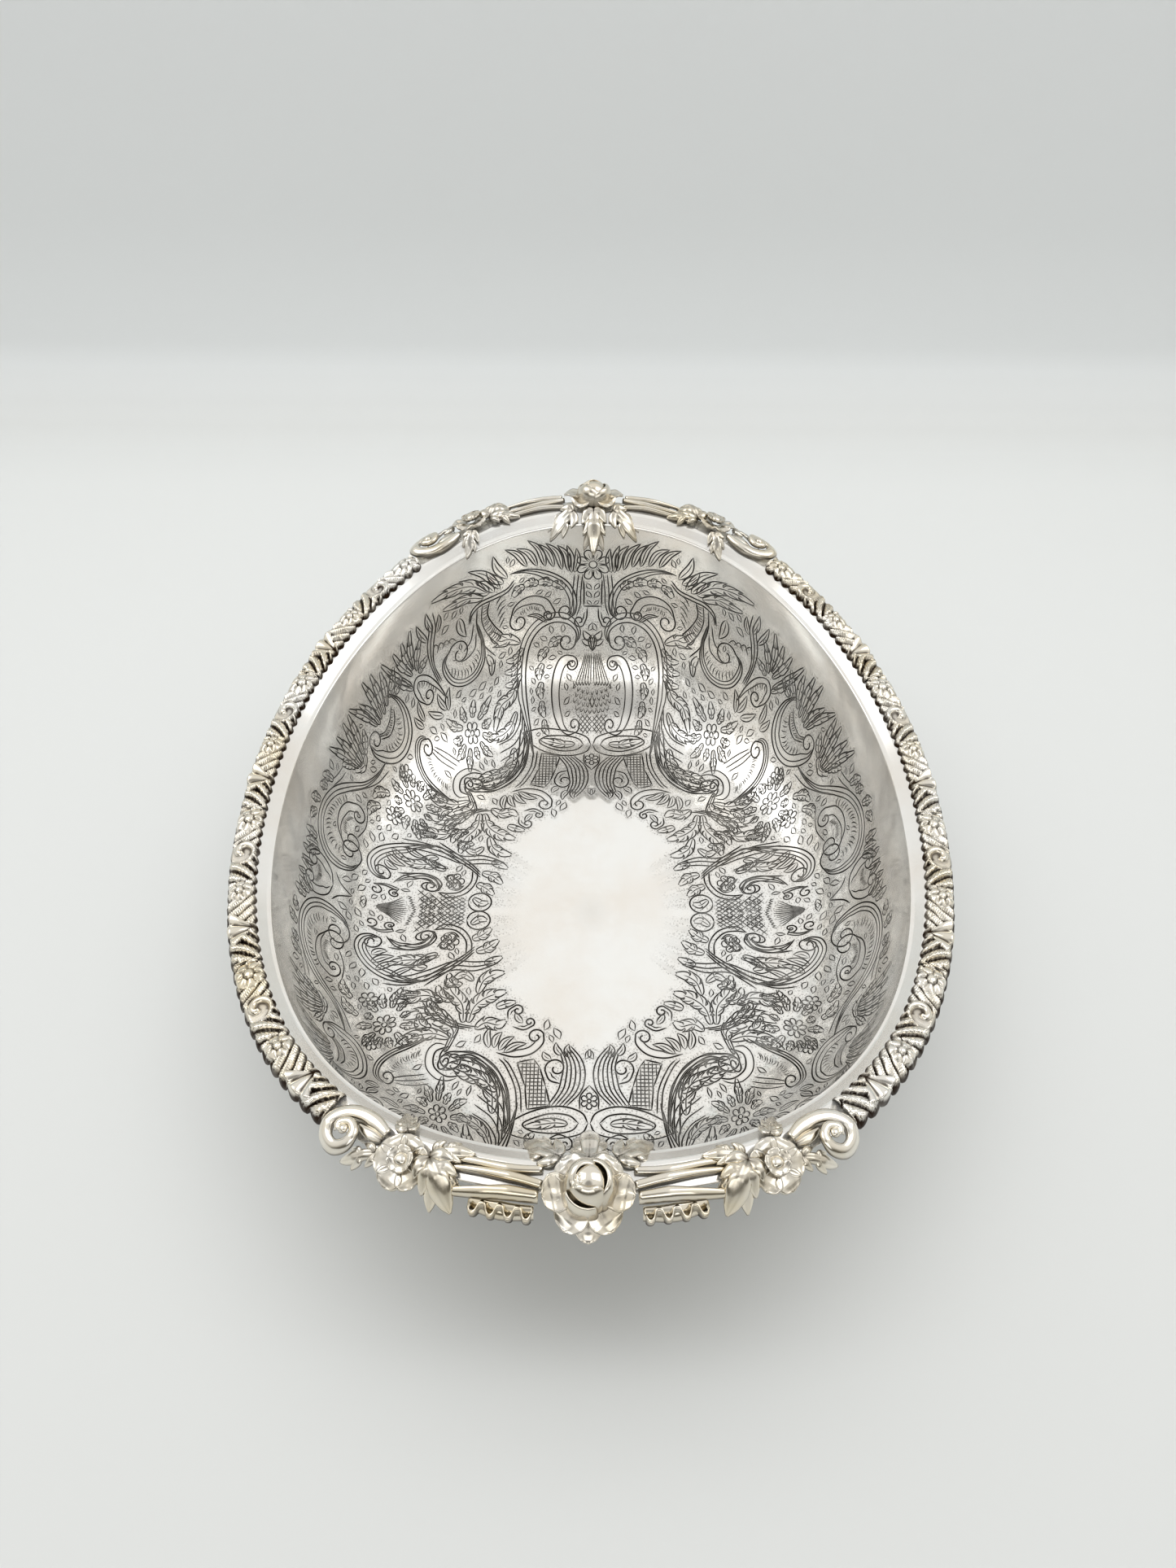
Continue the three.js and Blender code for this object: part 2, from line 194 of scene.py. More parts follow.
def smooth(points, step=STEP):
    """A smooth line through the points (Catmull-Rom), with even short steps."""
    points = np.asarray(points, float)
    if len(points) < 3:
        count = max(2, int(np.linalg.norm(points[-1] - points[0]) / step) + 1)
        return points[0] + (points[-1] - points[0]) * np.linspace(0, 1, count)[:, None]
    padded = np.vstack([2 * points[0] - points[1], points, 2 * points[-1] - points[-2]])
    pieces = []
    for a, b, c, d in zip(padded, padded[1:], padded[2:], padded[3:]):
        count = max(2, int(np.linalg.norm(c - b) / step) + 1)
        t = np.linspace(0, 1, count, endpoint=False)[:, None]
        pieces.append(0.5 * (2 * b + (c - a) * t + (2 * a - 5 * b + 4 * c - d) * t ** 2
                             + (3 * b - a - 3 * c + d) * t ** 3))
    return np.vstack([*pieces, points[-1:]])


def chase(points, half=FURROW, place=wall_place):
    line = smooth(points)
    furrows.append((place(line), half))
    return line


def beside(line, offset):
    """A line moved sideways, to its left where the offset is positive."""
    line = np.asarray(line, float)
    along = np.gradient(line, axis=0)
    across = np.stack([-along[:, 1], along[:, 0]], -1)
    across /= np.maximum(np.linalg.norm(across, axis=1), 1e-6)[:, None]
    return line + across * np.reshape(offset, (-1, 1))


def curl(line, eye, turn, turns=1.15):
    """A line that goes on into a spiral round its eye. turn is 1 for anticlockwise."""
    start = np.asarray(line[-1], float) - eye
    angle, radius = math.atan2(start[1], start[0]), np.hypot(*start)
    swing = np.linspace(0, 1, int(14 * turns) + 4)[1:]
    radii = radius * (1 - 0.78 * swing)
    angles = angle + turn * 2 * math.pi * turns * swing
    spiral = np.asarray(eye) + np.stack([radii * np.cos(angles), radii * np.sin(angles)], -1)
    return np.vstack([smooth(line)[:-1], smooth(np.vstack([line[-1:], spiral]), 0.5)])


def scroll(points, eye, turn, width, start_eye=None, start_turn=0, lines=(1.0,), place=wall_place):
    """A C or S scroll: a band whose inner edge runs beside its outer one and dies in the eye."""
    line = curl(points, eye, turn)
    tail = len(smooth(points))
    if start_eye is not None:
        first = curl(points[::-1], start_eye, start_turn)
        lead = len(first) - len(smooth(points))
        line = np.vstack([first[::-1][:lead], line])
        tail += lead
    share = np.linspace(0, 1, tail)
    fade = np.minimum(1, 6 * (1 - share)) ** 0.8
    fade *= np.minimum(1, 6 * share) ** 0.8 if start_eye is not None else np.minimum(1, 3 * share)
    furrows.append((place(line), FURROW))
    for part in lines:
        inner = beside(line[:tail], turn * width * part * fade)
        furrows.append((place(inner[2:-1]), FURROW * 0.8))
    middle = beside(line[:tail], turn * width * 0.5 * fade)
    plain_spots.extend((spot, width * 0.45) for spot in place(middle[::3]))
    bodies.extend(zip(place(middle), abs(width) * 0.5 * fade))
    return line


def blade(root, tip, bend, width, veins=1, place=wall_place):
    """A long pointed leaf, bent sideways, with its midrib."""
    root, tip = np.asarray(root, float), np.asarray(tip, float)
    along = tip - root
    across = np.array([-along[1], along[0]])
    across = across / np.linalg.norm(across)
    middle = root + along * 0.55 + across * bend
    spine = smooth([root, middle, tip])
    share = np.linspace(0, 1, len(spine))
    swell = width * np.sin(math.pi * share ** 0.75) ** 0.9
    chase_raw(beside(spine, swell), FURROW * 0.9, place)
    chase_raw(beside(spine, -swell), FURROW * 0.9, place)
    if veins:
        chase_raw(spine[1:int(len(spine) * 0.8)], FINE, place)
    bodies.extend(zip(place(spine), swell))


def chase_raw(line, half=FURROW, place=wall_place):
    furrows.append((place(line), half))


def acanthus(spine_points, widths, lobes, sides=(1, -1), veins=True, place=wall_place):
    """A leaf whose edge is cut in pointed lobes, each with a vein back to the midrib."""
    spine = smooth(spine_points, 0.6)
    share = np.linspace(0, 1, len(spine))
    swell = np.interp(share, np.linspace(0, 1, len(widths)), widths)
    last = len(spine) - 1
    bodies.extend(zip(place(spine[::2]), swell[::2] * 0.92))
    if veins:
        furrows.append((place(spine[:int(last * 0.85) + 1:2]), FINE))
    for side in sides:
        edge = beside(spine, side * swell)
        near = beside(spine, side * swell * 0.25)
        for i in range(lobes):
            a = int(last * i / lobes)
            b = min(last, int(last * (i + 1) / lobes))
            m = (a + b) // 2
            tip = edge[b] + (spine[b] - spine[a]) * (0.35 if i < lobes - 1 else 0.1)
            start = near[a] if i else spine[a]
            outline = [start, edge[(a + m) // 2] * 0.7 + near[a] * 0.3, edge[m] * 1.04 - spine[m] * 0.04, tip]
            chase(outline, FURROW * 0.85, place)
            chase([tip, edge[b] * 0.6 + near[b] * 0.4, near[b]], FURROW * 0.75, place)
            if veins and swell[m] > 2.1:
                chase([near[m] * 0.5 + near[a] * 0.5, edge[m] * 0.45 + near[m] * 0.55,
                       edge[m] * 0.35 + tip * 0.65], FINE * 0.9, place)


def flower(centre, radius, petals, place=wall_place, stretch=1.0):
    """Round petals about a small boss."""
    cx, cy = centre
    petal_middles = [(cx + stretch * radius * 0.5 * math.cos(t), cy + radius * 0.5 * math.sin(t))
                     for t in np.arange(0, 6.2, 0.6)]
    bodies.extend((spot, radius * 0.45) for spot in place(petal_middles))
    for i in range(petals):
        angle = 2 * math.pi * (i + 0.5) / petals
        spread = 0.85 * math.pi / petals
        outline = [(0.3, -0.5), (0.75, -1), (1, -0.4), (1, 0.4), (0.75, 1), (0.3, 0.5)]
        chase([(cx + stretch * radius * r * math.cos(angle + spread * s),
                cy + radius * r * math.sin(angle + spread * s)) for r, s in outline],
              FURROW * 0.8, place)
        chase([(cx + stretch * radius * r * math.cos(angle), cy + radius * r * math.sin(angle))
               for r in (0.35, 0.75)], FINE, place)
    ring = [(cx + stretch * radius * 0.24 * math.cos(t), cy + radius * 0.24 * math.sin(t))
            for t in np.linspace(0, 2 * math.pi, 9)]
    chase(ring, FURROW * 0.8, place)


def rungs(first, second, count, half=FINE, place=wall_place):
    """Short cuts from one line across to another: gadroons and hatching."""
    first, second = smooth(first), smooth(second)
    for share in np.linspace(0, 1, count):
        a = first[int(round(share * (len(first) - 1)))]
        b = second[int(round(share * (len(second) - 1)))]
        side = np.array([a[1] - b[1], b[0] - a[0]]) * 0.12
        chase([a, (a + b) / 2 + side, b], half, place)


def inside(point, corners):
    x, y = point
    hit = False
    for (x1, y1), (x2, y2) in zip(corners, [*corners[1:], corners[0]]):
        if (y1 > y) != (y2 > y) and x < (x2 - x1) * (y - y1) / (y2 - y1) + x1:
            hit = not hit
    return hit


def diaper(corners, spacing, angles, half=FINE, place=wall_place):
    """Crossed straight cuts that fill a field."""
    xs, ys = np.array(corners).T
    middle = np.array([xs.mean(), ys.mean()])
    reach = max(np.ptp(xs), np.ptp(ys))
    for angle in angles:
        along = np.array([math.cos(angle), math.sin(angle)])
        across = np.array([-along[1], along[0]])
        for k in range(int(-reach / spacing), int(reach / spacing) + 1):
            run = []
            for t in np.arange(-reach, reach, 0.8):
                spot = middle + across * k * spacing + along * t
                if inside(spot, corners):
                    run.append(spot)
                elif len(run) > 2:
                    furrows.append((place(np.array(run)), half))
                    run = []


def scales(low, high, rows, width, place=wall_place):
    """Rows of small overlapping arcs between two corners."""
    row_height = (high[1] - low[1]) / rows
    for row in range(rows):
        start = low[0] - (width / 2 if row % 2 else 0)
        for x in np.arange(start, high[0] + 0.1, width):
            y = low[1] + row * row_height
            arc = [(x + width * t, y + row_height * 0.9 * math.sin(math.pi * t))
                   for t in (0, 0.25, 0.5, 0.75, 1)]
            if low[0] - 0.6 < arc[0][0] and arc[-1][0] < high[0] + 0.6:
                chase(arc, FINE, place)


# ---- Chased pattern: the wall ----------------------------------------------------------------
# From the middle of an end (length 0) round to the middle of a side (length about 219).

END = 0.0
SIDE = QUARTER

# Palmette, column and shell on the end's axis.
flower((END, 22), 8, 8)
chase([(4.6, 30), (4.4, 37), (4.6, 43.5)])
chase([(-4.8, 44), (4.8, 44)])
for length in (7, 9, 11):
    chase([(length - 2, 27), (length - 1, 36), (length - 0.6, 43), (length + 1.4, 49)], FURROW * 0.8)
scroll([(2.8, 45), (3.2, 50), (5, 54)], (7, 51.5), -1, 1.6)
for petal in ((0, 58.5, 0, 67), (0, 62, 5, 56.5), (0, 63, 6, 61)):
    blade(petal[:2], petal[2:], 0.6, 1.6, veins=0)
    if petal[2]:
        blade(petal[:2], (-petal[2], petal[3]), -0.6, 1.6, veins=0)
for i in range(6):
    chase([(0.5 + 0.7 * i, 68), (0.8 + 1.1 * i, 75), (0.9 + 1.75 * i, 82)], FINE)
    chase([(0.9 + 1.75 * i, 82), (0.9 + 1.75 * i + 0.9, 83.8), (0.9 + 1.75 * i + 1.75, 81.4)], FURROW * 0.75)
for row, reach in enumerate((17.5, 20.5, 23.5, 26.5)):
    for i in range(5):
        bearing = (i + 0.5 * (row % 2)) * 2.7 / reach
        if reach * math.sin(bearing) < 11:
            chase([(reach * math.sin(bearing - 0.05), 69 + reach * math.cos(bearing - 0.05)),
                   ((reach + 2) * math.sin(bearing), 69 + (reach + 2) * math.cos(bearing)),
                   (reach * math.sin(bearing + 0.05), 69 + reach * math.cos(bearing + 0.05))], FINE)
chase([(0, 89), (1.4, 91.5), (0, 94), (-1.4, 91.5), (0, 89)], FURROW * 0.75)
diaper([(-0.2, 97.5), (10.5, 97.5), (8.5, 108), (-0.2, 108)], 2.0, (0.75, -0.75))
plain_spots.extend((spot, 6) for spot in wall_place([(4, 72), (4, 80), (4, 88), (5, 96), (4, 103)]))

# Long S scroll that opens the top of the end panel, with its inner C scroll.
scroll([(40.8, 20.5), (33.5, 20.3), (25.5, 22.3), (17.5, 26.5), (11.5, 32), (8.3, 40), (9, 47),
        (12.5, 50)], (14, 46), -1, 3.6, lines=(0.45, 1.0))
scroll([(20, 44), (23, 38.5), (29, 35.4), (35, 35.5), (40, 38.3), (42.3, 43)], (38.4, 46.3), 1, 4,
       start_eye=(23, 46.4), start_turn=-1)
rungs([(27, 44), (32, 42), (36.5, 43.5)], [(28, 41.6), (32, 39.8), (37, 41.5)], 9)
blade((24, 50.2), (34, 44.6), -1.4, 1)
for root, tip in (((14, 34), (20, 31)), ((20, 31), (27, 29)), ((27, 29.5), (34, 28.5)),
                  ((34, 29), (40, 32.5))):
    acanthus([root, ((root[0] + tip[0]) / 2, (root[1] + tip[1]) / 2 - 1), tip], (1.2, 2.4, 1), 3)

# Plumes over the scroll, up to the plain band.
for root, tip, bend in (((9, 26), (8, 13), -1), ((10.5, 26), (12.5, 11), -1), ((12, 25), (17, 10.5), -2),
                        ((15, 24), (22.5, 8.5), -2), ((19, 22), (26.5, 8), -1.5),
                        ((23, 21), (31, 5), -2), ((27, 20), (36.5, 8), -2), ((32, 19), (42, 6.5), -1.5)):
    blade(root, tip, bend, 1.5)
for root, tip, bend in (((42, 22), (48, 7.5), 1.5), ((44, 24), (52, 14), 1), ((46, 26), (61, 9.5), -2),
                        ((49, 26.5), (58, 17), -1)):
    blade(root, tip, bend, 1.9)
acanthus([(52, 26), (60, 18), (70, 14.5), (81, 13)], (2, 3.2, 2.6, 0.5), 4)
acanthus([(55, 27), (63, 23), (71, 22), (76, 21)], (1.5, 2.4, 2, 0.5), 3)
for offset in (0, 1.8):
    chase([(38.5, 24 + offset), (43, 27.5 + offset), (50, 28.2 + offset), (57, 28.2 + offset),
           (62, 30.5 + offset), (64.5 - offset / 2, 36)])
blade((69, 30), (67, 41), -1, 2.2)
for i in range(5):
    chase([(43 + i * 0.6, 29.5 + 3 * i), (46.5, 30.5 + 3 * i), (49, 33.5 + 3 * i)], FURROW * 0.8)

# Feather shell, its hatching and the flame leaf at its foot.
chase([(52, 30), (54, 36), (51.5, 43), (47, 50)])
chase([(56, 30), (57.5, 38), (55.5, 46), (50, 55)], FURROW * 0.8)
chase([(59, 31), (60.5, 40), (58.5, 50), (53.5, 58)])
rungs([(52.6, 31), (54, 36), (51.5, 43), (48.5, 48)], [(56, 31), (57.5, 38), (55.5, 46), (52, 52)], 16)
acanthus([(39, 57), (45, 53), (50, 52), (54, 46)], (0.8, 3, 3, 1), 3)

# First U scroll with its gadroons.
scroll([(60, 38), (58.4, 48), (60, 57), (66, 62), (74, 62), (81, 57.5), (84, 50), (82.5, 44.5),
        (78, 42.5)], (72.6, 46.4), -1, 3, lines=(0.5, 1.0))
chase([(62, 37), (65, 44), (70, 47)], FURROW * 0.8)
chase([(61.5, 42), (64, 49), (71, 51), (77, 47)], FURROW * 0.8)
rungs([(63, 50), (67, 54), (73, 54.5), (78.5, 50)],
      [(61.8, 53.5), (66.5, 58.3), (74, 58.6), (80.5, 53.5)], 11, FURROW * 0.7)
for i in range(4):
    chase([(72.5 + 3.2 * i, 40 - i), (75 + 3.2 * i, 37 - i), (78 + 3.2 * i, 38.5)], FURROW * 0.8)
acanthus([(58, 66), (56.5, 61), (58, 56)], (0.6, 2.2, 0.8), 2)

# Tall stems, sprigs and a small scroll between the two U scrolls.
for shift in (0, 2, 4):
    chase([(82 + shift, 18 + shift), (82 + shift, 26), (85 + shift, 33), (87.5 + shift / 2, 42),
           (86 + shift / 2, 52)], FURROW * 0.85)
blade((84, 27), (85.5, 16), 0.8, 1.6)
blade((88, 30), (92, 18), 0.8, 1.5)
blade((82, 29), (79, 21), -0.8, 1.4)
for root, tip in (((98, 38), (91, 25)), ((99, 36), (96, 18)), ((100, 36), (102, 20)), ((101, 38), (108, 21)),
                  ((103, 42), (116, 20)), ((103, 44), (111, 31)), ((97, 40), (90, 36))):
    middle = ((root[0] + tip[0]) / 2 + 1, (root[1] + tip[1]) / 2)
    acanthus([root, middle, tip], (0.7, 1.9, 0.5), 3)
scroll([(86, 62), (88.5, 52), (93, 44), (99, 40.5), (103, 44), (102.5, 50), (99, 55)], (96, 52.5), 1, 2.6)
rungs([(90.5, 52), (94, 45.5), (99, 43)], [(92, 54), (95.5, 48), (99.5, 46)], 8)
for root, tip in (((88, 66), (83, 57)), ((89, 65), (91, 55)), ((92, 66), (100, 58)), ((104, 60), (103, 50)),
                  ((106, 62), (109, 54))):
    blade(root, tip, 0.8, 1.6)

# Second U scroll, its crescent and gadroons, and the fronds over it.
scroll([(118.5, 33), (112.5, 41), (110.8, 50), (114, 58), (122, 61.8), (131, 60.5), (138, 55),
        (141.6, 48), (140.6, 42)], (136.2, 44), -1, 5, lines=(0.45, 1.0))
chase([(118, 42), (121, 47), (127, 49), (133, 46)])
chase([(118.5, 39.5), (123, 44), (129, 45.4), (133.5, 43)], FURROW * 0.8)
rungs([(118.5, 42), (122, 46.4), (127, 48), (132, 45.4)],
      [(119.5, 41), (123.5, 44.6), (129, 45.8), (133, 43.6)], 16)
rungs([(116.5, 48), (119, 54), (125, 56.6), (133, 53.5)],
      [(119.5, 46.5), (121.5, 51), (126, 53), (132, 50)], 10, FURROW * 0.8)
for root, tip in (((121, 38), (118, 22)), ((124, 40), (124, 18)), ((127, 40), (130, 17)),
                  ((129, 41), (136, 24)), ((131, 40), (143, 20)), ((118, 36), (110, 26)),
                  ((116, 38), (107, 33))):
    middle = ((root[0] + tip[0]) / 2 - 1, (root[1] + tip[1]) / 2)
    acanthus([root, middle, tip], (0.8, 2.1, 0.5), 4)
for root, tip in (((147, 42), (145, 21)), ((150, 44), (150, 21)), ((152, 44), (157, 22)),
                  ((154, 43), (164, 21)), ((156, 41), (162, 33)), ((146, 43), (140, 34))):
    middle = ((root[0] + tip[0]) / 2 - 0.8, (root[1] + tip[1]) / 2)
    acanthus([root, middle, tip], (0.8, 2.2, 0.5), 4)
acanthus([(146, 43), (151, 45), (157, 42)], (1, 2, 0.8), 3)

# Long stem that swells into the great arch of the side panel, and the C scroll under it.
scroll([(137, 55), (147, 53.5), (156, 49.5), (163, 43), (169, 37.5), (176, 33), (185, 30.3), (194, 31),
        (202, 35.5), (207, 43), (207.5, 51), (204, 58), (198, 61)], (194.6, 54.6), 1, 5, lines=(0.42, 0.8))
chase([(139, 58.5), (150, 56), (160, 50), (168, 43.5)], FURROW * 0.8)
chase([(162, 34), (168, 33), (173, 31)], FURROW * 0.8)
chase([(163, 37), (168, 36), (174, 33.5)], FURROW * 0.8)
rungs([(171, 41.5), (179, 37.5), (187, 36), (194, 37.5), (199, 42.5), (200, 49)],
      [(173, 44.5), (180, 40.6), (187, 39.4), (192, 41), (195.5, 45), (196.5, 49)], 17, FURROW * 0.8)
scroll([(170, 49), (173.5, 44.6), (180, 42.4), (187, 43.8), (191.8, 48.5)], (188.6, 54), 1, 4,
       start_eye=(173.6, 53), start_turn=-1)
rungs([(177, 51.5), (182, 49), (187, 51)], [(177.5, 48.5), (182, 46.8), (187, 48)], 11)
chase([(168, 57.5), (176, 59), (185, 56.5)], FURROW * 0.8)
for root, tip in (((172, 32), (176, 24)), ((178, 30), (181, 25)), ((186, 29), (190, 22)),
                  ((192, 29), (198, 26)), ((203, 34), (204, 25)), ((206, 36), (209, 27)),
                  ((208, 38), (214, 29))):
    acanthus([root, ((root[0] + tip[0]) / 2, (root[1] + tip[1]) / 2 - 1), tip], (1, 2.4, 0.6), 3)

# Upright C scroll, point and fan shell on the side's axis.
scroll([(SIDE, 49.6), (212.5, 47.5), (208.8, 42), (208.6, 35.5), (212, 31.6)], (213.8, 35), 1, 4)
rungs([(214.5, 40.5), (217, 42), (SIDE, 42.4)], [(214.5, 38), (217, 39), (SIDE, 39.4)], 6)
blade((SIDE - 2, 36), (SIDE - 1, 26), 0.5, 1.4)
blade((SIDE - 5, 32), (SIDE - 6, 25), -0.5, 1.4)
chase([(211, 50), (215, 53.5), (SIDE, 60.5)])
plain_spots.extend((spot, 3) for spot in wall_place([(SIDE, 53)]))
scroll([(204, 80.5), (203, 75), (204.5, 69.5)], (207.6, 70.8), -1, 1.6, start_eye=(207, 79.4), start_turn=1)
for i in range(7):
    spread = i / 6.5
    chase([(SIDE - 1.5 * spread, 72 + spread), (SIDE - 5 * spread, 78),
           (SIDE - 11 * spread, 86 - 3 * spread)], FINE)
for i in range(6):
    chase([(SIDE - 2 * i, 88 - 0.5 * i), (SIDE - 2 * i - 1, 89.5 - 0.5 * i),
           (SIDE - 2 * i - 2, 87.6 - 0.5 * i)], FURROW * 0.8)
scales((SIDE - 15, 91), (SIDE, 98), 4, 3)
diaper([(SIDE - 19, 99), (SIDE, 99), (SIDE, 111), (SIDE - 16, 111)], 2.4, (0.6, -0.6))

# Spiral with leafy back, and the scroll below it that holds the diaper.
scroll([(158, 96), (164, 85), (172, 75), (181, 67.5), (190, 64), (197, 66), (199.4, 71), (197.5, 75.4)],
       (194.4, 71.6), 1, 5.5, lines=(0.35, 0.7, 1.0))
for root, tip in (((176, 74), (179, 84)), ((181, 72), (184, 82)), ((186, 72), (188, 79)),
                  ((170, 80), (172, 91))):
    blade(root, tip, -1.2, 2)
scroll([(199, 78), (191, 82.5), (186, 90), (187, 96.5), (192, 99.5), (198.5, 98.5)], (195.8, 94.3), -1, 4,
       lines=(0.5, 1.0))
acanthus([(196, 104), (190, 106), (184, 103), (180, 106)], (2, 3, 2.4, 0.8), 3)
acanthus([(168, 96), (172, 92), (176, 95), (175, 101)], (1.4, 2.6, 2, 0.6), 3)

# Frame of the end panel with its bracket.
scroll([(45, 114), (42.4, 103), (41, 92), (39.8, 80), (37.6, 69), (33.6, 59), (27.5, 53), (20, 51),
        (13, 52.8), (8.8, 57.5), (9.6, 63.5)], (14, 61.4), -1, -5, lines=(0.5, 1.0))
scroll([(11, 69), (15, 68.4), (19, 70.5), (22.6, 77), (24.8, 86), (24.8, 96), (22, 103.5), (17, 107.4),
        (11, 106.6)], (12.2, 102.8), 1, 4.6, start_eye=(12, 73), start_turn=-1)
for centre, angle in (((20, 61), 0.4), ((27, 66), 0.8), ((29.5, 74), 1.2), ((30.5, 83), 1.4), ((31, 92), 1.6),
                      ((31, 101), 1.7)):
    reach = np.array([math.cos(angle), math.sin(angle)]) * 4
    spot = np.array(centre)
    acanthus([spot - reach, spot + (1, 0), spot + reach], (1, 2.6, 0.7), 3)

# Leaves, flower and long waved blades outside the frame.
for root, tip in (((38, 60), (48, 63)), ((40, 66), (50, 68)), ((41, 72), (51, 74))):
    acanthus([root, ((root[0] + tip[0]) / 2, tip[1] + 1), tip], (1, 2.4, 0.6), 3)
acanthus([(43, 74), (49, 80), (57, 82), (65, 90)], (1, 3, 3, 0.8), 5)
for drop in (0, 4, 8, 12):
    chase([(44.5, 86 + drop), (48, 94 + drop * 0.9), (56, 98 + drop * 0.9), (66 + drop / 2, 97 + drop * 0.9)],
          FURROW * 0.85)
acanthus([(48, 88), (54, 93), (62, 94), (70, 91)], (1, 2.6, 2.6, 0.7), 4)
flower((79.5, 83), 5, 6)
for i in range(11):
    angle = 2 * math.pi * i / 11 + 0.2
    ray = np.array([1.15 * math.cos(angle), math.sin(angle)])
    spot = np.array([79.5, 83])
    far = 15 + 3 * math.sin(2.3 * i)
    middle = spot + ray * (far + 6) / 2 + (0.8, 0.8)
    acanthus([spot + ray * 6.5, middle, spot + ray * far], (0.8, 2.3, 0.6), 3)
scroll([(45, 101), (48, 109), (56, 115.5), (68, 118), (82, 115), (94, 108.5), (102, 102), (103.5, 98)],
       (99.5, 98.4), -1, 3.4, lines=(0.5, 1.0))
acanthus([(60, 112), (72, 110), (84, 105), (95, 101)], (1, 2.8, 2.6, 0.8), 5)
for shift in (0, 3, 6):
    chase([(100 + shift, 118 - shift), (112 + shift, 110 - shift), (124 + shift, 104 - shift),
           (138 + shift, 100 - shift)], FURROW * 0.8)
acanthus([(104, 100), (110, 106), (118, 104), (126, 98)], (1, 2.6, 2.4, 0.6), 4)

# Scroll that hangs from the second U, and the flower field beyond it.
scroll([(119, 96), (120.5, 86), (121, 77), (118, 69.5), (112, 65), (107, 67)], (110.4, 69.6), -1, -3,
       lines=(0.5, 1.0))
rungs([(116, 90), (117.4, 80), (114, 71)], [(113, 88), (114, 80), (111.5, 74)], 14)
for drop in (0, 3, 6):
    chase([(96 + drop, 88), (101 + drop, 79), (106 + drop / 2, 72)], FURROW * 0.8)
flower((140, 76), 5.5, 8)
flower((157, 70), 4.5, 6)
flower((131, 67), 4, 6)
for i in range(12):
    angle = 2 * math.pi * i / 12
    ray = np.array([1.3 * math.cos(angle), math.sin(angle)])
    spot = np.array([141, 77])
    far = 14 + 3 * math.sin(1.7 * i)
    acanthus([spot + ray * 7, spot + ray * (far + 7) / 2 + (0.6, -0.8), spot + ray * far], (0.8, 2.3, 0.6), 3)
for root, tip in (((124, 96), (138, 92)), ((128, 102), (144, 97)), ((132, 108), (150, 101)),
                  ((140, 112), (156, 106)), ((122, 92), (128, 86)), ((150, 92), (160, 84)),
                  ((148, 64), (158, 57)), ((158, 62), (168, 58))):
    acanthus([root, ((root[0] + tip[0]) / 2, (root[1] + tip[1]) / 2 - 2), tip], (1, 2.8, 0.6), 4)
for shift in (0, 3, 6):
    chase([(155 + shift, 95), (158 + shift, 104), (162 + shift, 112), (168 + shift, 117)])

# ---- Chased pattern: the floor ---------------------------------------------------------------
# In plan, from the end's axis (x = 0) to the side's axis (y = 0). The middle oval stays plain.

floor = {"place": floor_place}
chase([(0.4, 95), (3, 90.6), (11, 88.2), (21, 90), (29, 94.5), (33.5, 99.5)], **floor)
chase([(0.4, 95), (3, 99.5), (12, 102), (24, 102.5), (33.5, 99.5)], **floor)
chase([(4, 95), (8, 91.8), (16, 91.4), (25, 95.4), (22, 98.8), (13, 99.6), (6.5, 98.2), (4, 95)], **floor)
acanthus([(8, 95.5), (13, 95), (19, 96), (24, 97)], (0.8, 2.2, 2, 0.6), 3, **floor)
chase([(3.6, 89.5), (3.4, 84), (0, 79.5)], **floor)
flower((0, 86), 3.2, 6, **floor)
for i in range(6):
    t = i / 5
    chase([(8.5 + 7.5 * t, 88), (3.2 + 9 * t, 82), (1.6 + 9.4 * t, 75 + 2.5 * t), (3.2 + 7 * t, 68.5 + 3 * t),
           (7.6 + 4 * t, 62.8 + 3 * t)], FURROW * 0.9, **floor)
scroll([(11, 79), (15.5, 77.5), (17.4, 73.5)], (13, 72.6), -1, 1.8, **floor)
for root, tip in (((8, 68), (8.2, 62)), ((11, 67), (13.4, 61.4)), ((15, 69), (18.4, 65.4))):
    blade(root, tip, 0.8, 1.3, **floor)
shield = [(15, 88), (24, 89.6), (25, 80), (28.6, 70.2), (22, 68.6), (19.6, 72), (17, 80)]
for a, b in zip(shield, [*shield[1:], shield[0]]):
    chase([a, b], **floor)
diaper(shield, 1.55, (0.0, math.pi / 2), **floor)
for shift in (0, 1.8):
    chase([(26 + shift, 91), (27 + shift, 81), (31 + shift, 72), (34 + shift, 68.5)], FURROW * 0.9, **floor)
for shift in (0, 2.2, 4.4):
    chase([(30 + shift, 101), (30.6 + shift, 88), (32.6 + shift, 79), (38 + shift, 71.5),
           (46 + shift / 2, 66 + shift / 2), (54, 66 + shift)], **floor)
acanthus([(37, 92), (38, 82), (43, 75), (50, 71), (57, 73)], (0.8, 3, 3.6, 3, 0.8), 6, **floor)
scroll([(50, 76), (56, 76.5), (61, 72.5), (61, 66), (56, 63.5)], (54, 69), 1, 3, **floor)
scroll([(37, 66), (30, 67.8), (23, 66.4), (18.6, 62), (18.4, 57.6)], (21.6, 59), 1, 3, **floor)
for root, tip in (((34, 66), (25, 62)), ((36, 65), (30, 59)), ((38, 64), (35, 57)), ((40, 64), (40, 55))):
    blade(root, tip, 1, 1.4, **floor)
scroll([(31, 54.6), (26.5, 56), (22.6, 54)], (24.2, 52.6), 1, 1.4, **floor)
scroll([(33, 51.5), (33, 47.6), (30, 45)], (29.2, 47.4), -1, 1.4, **floor)
blade((27, 53), (30, 48), 0.6, 1.2, **floor)
acanthus([(46, 56), (42, 53), (37, 54), (34, 52)], (0.8, 2.6, 2.4, 0.6), 3, **floor)
